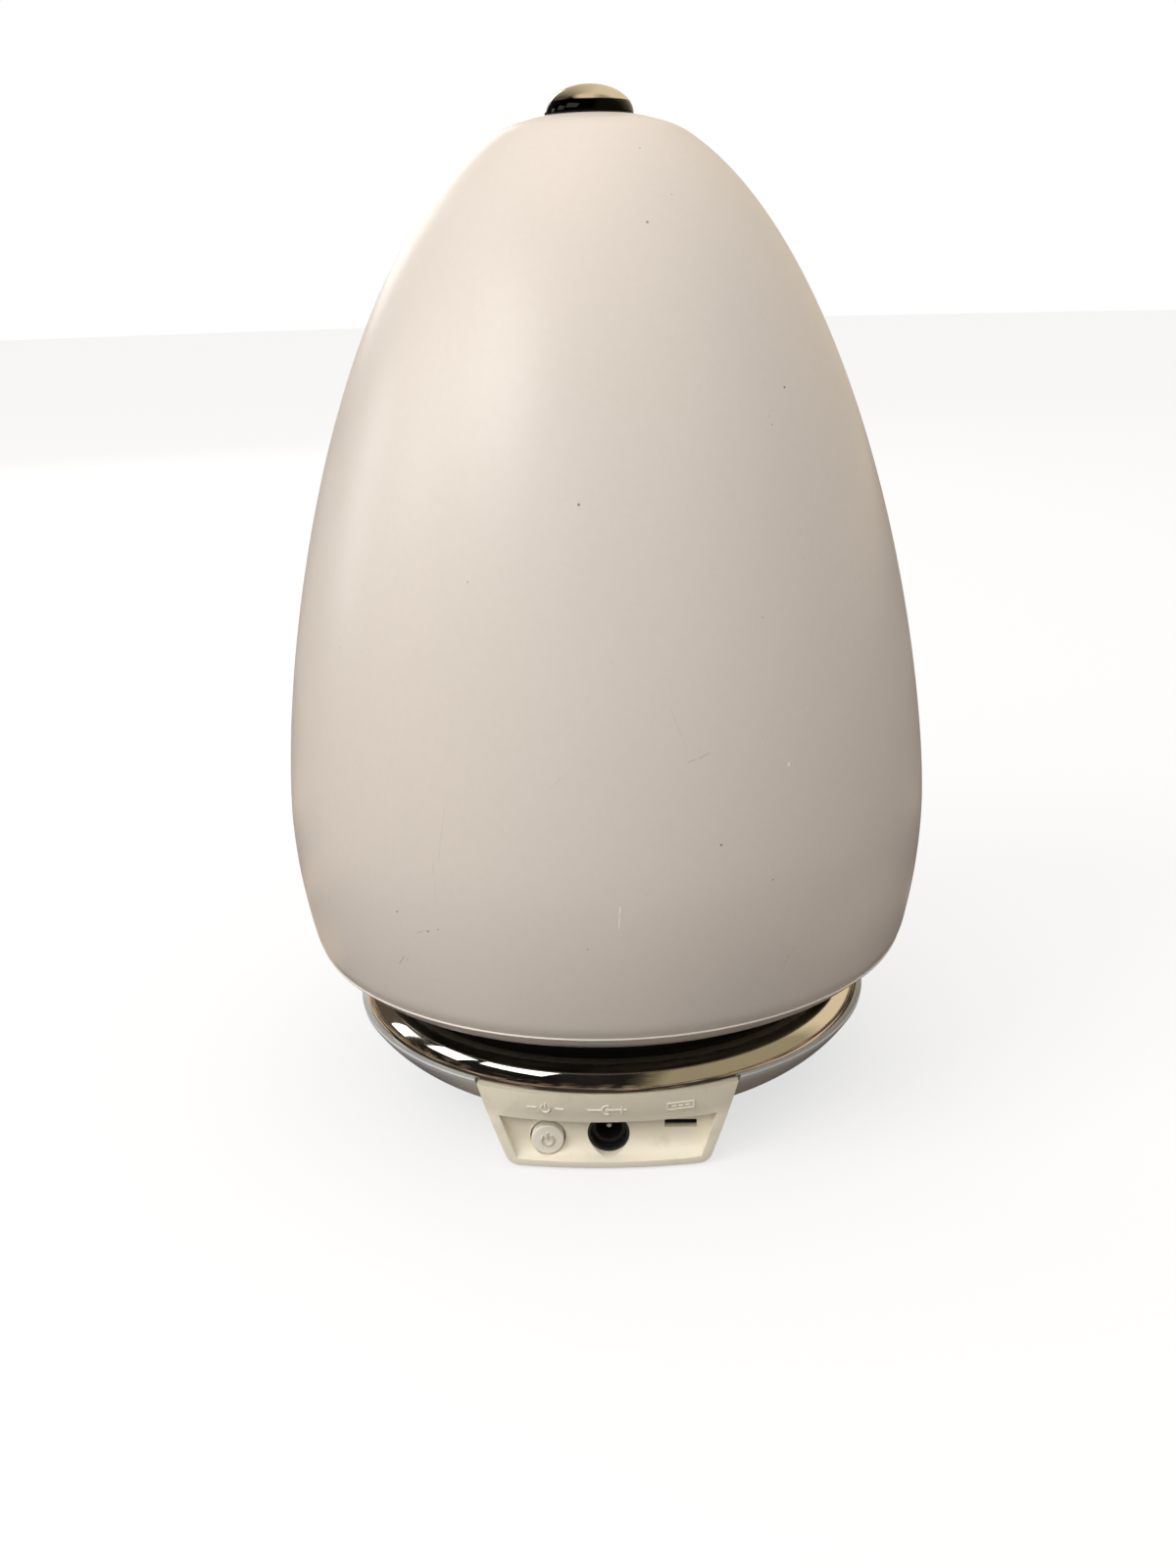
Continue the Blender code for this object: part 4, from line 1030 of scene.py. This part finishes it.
def world():
    """Pale backdrop for the camera, an even soft room for light, and a darker one for reflections."""
    made = bpy.data.worlds.new("studio")
    bpy.context.scene.world = made
    made.use_nodes = True
    nodes = made.node_tree.nodes
    links = made.node_tree.links
    nodes.clear()
    direction = nodes.new("ShaderNodeSeparateXYZ")
    links.new(nodes.new("ShaderNodeTexCoord").outputs["Generated"], direction.inputs["Vector"])

    def band(axis, low, high):
        made_range = nodes.new("ShaderNodeMapRange")
        links.new(direction.outputs[axis], made_range.inputs["Value"])
        made_range.inputs["From Min"].default_value = low
        made_range.inputs["From Max"].default_value = high
        return made_range.outputs["Result"]

    def mixed(factor, first, second):
        node = nodes.new("ShaderNodeMix")
        node.data_type = "RGBA"
        links.new(factor, node.inputs["Factor"])
        for socket, value in zip((node.inputs[6], node.inputs[7]), (first, second)):
            if hasattr(value, "is_output"):
                links.new(value, socket)
            else:
                socket.default_value = (*value, 1.0)
        return node.outputs[2]

    def background(colour, strength=1.0):
        node = nodes.new("ShaderNodeBackground")
        node.inputs["Strength"].default_value = strength
        if hasattr(colour, "is_output"):
            links.new(colour, node.inputs["Color"])
        else:
            node.inputs["Color"].default_value = (*colour, 1.0)
        return node.outputs["Background"]

    def either(name, first, second):
        node = nodes.new("ShaderNodeMixShader")
        links.new(path.outputs[name], node.inputs["Fac"])
        links.new(first, node.inputs[1])
        links.new(second, node.inputs[2])
        return node.outputs["Shader"]

    path = nodes.new("ShaderNodeLightPath")
    side = mixed(band("X", -0.9, 0.9), (0.80, 0.785, 0.76), (1.02, 0.99, 0.955))
    soft = mixed(band("Z", -0.1, 0.45), (0.55, 0.52, 0.50), side)
    clutter = nodes.new("ShaderNodeTexNoise")
    clutter.inputs["Scale"].default_value = 7.0
    clutter.inputs["Detail"].default_value = 3.0
    patches = nodes.new("ShaderNodeMapRange")
    links.new(clutter.outputs["Fac"], patches.inputs["Value"])
    patches.inputs["From Min"].default_value = 0.5
    patches.inputs["From Max"].default_value = 0.62
    front = mixed(patches.outputs["Result"], (0.022, 0.017, 0.013), (0.50, 0.38, 0.26))
    wall = mixed(band("X", 0.08, 0.36), front, (0.36, 0.31, 0.20))
    below = mixed(band("Z", 0.3, -0.3), (0.010, 0.009, 0.008), wall)
    overhead = mixed(band("Z", 0.90, 0.97), below, CEILING)
    behind = mixed(band("X", -0.5, 0.1), (0.10, 0.08, 0.06), CEILING)
    room = mixed(band("Y", 0.05, 0.3), mixed(band("X", 0.1, 0.4), overhead, wall), behind)
    shown = either("Is Glossy Ray", background(soft), background(room))
    output = nodes.new("ShaderNodeOutputWorld")
    links.new(either("Is Camera Ray", shown, background((1.0, 1.0, 1.0))), output.inputs["Surface"])


def floor():
    """Pale floor for the camera that throws little light up, as a dark table would."""
    bm = bmesh.new()
    bmesh.ops.create_circle(bm, cap_ends=True, segments=96, radius=6000.0)
    obj = make("floor", bm)
    pale = Finish("floor", (0.30, 0.30, 0.30), 0.8, specular=0.0)
    pale.set("Emission Color", (1.0, 1.0, 1.0, 1.0))
    pale.set("Emission Strength", 0.66)
    path = pale.nodes.new("ShaderNodeLightPath").outputs
    things = pale.math("MULTIPLY", pale.ramp(pale.noise(9, 4), 0.50, 0.62), path["Is Glossy Ray"])
    table = pale.mix(things, (0.035, 0.03, 0.026), (0.62, 0.47, 0.34))
    dark = pale.node("ShaderNodeBsdfDiffuse", Color=table)
    split = pale.nodes.new("ShaderNodeMixShader")
    pale.links.new(path["Is Camera Ray"], split.inputs["Fac"])
    pale.links.new(dark.outputs["BSDF"], split.inputs[1])
    pale.links.new(pale.shader.outputs["BSDF"], split.inputs[2])
    pale.links.new(split.outputs["Shader"], pale.nodes["Material Output"].inputs["Surface"])
    obj.data.materials.append(pale.material)


camera()
world()
lights()
floor()
bpy.context.scene.view_settings.view_transform = "Standard"

egg_shell()
mist_cap()
outlet_collar()
mist_chimney()
chrome_ring()
seat_collar()
base_bowl()
connector_panel()
pictograms()
power_button()
sockets()
sealing_rings()
rubber_feet()
softened_pieces()
carried_over()
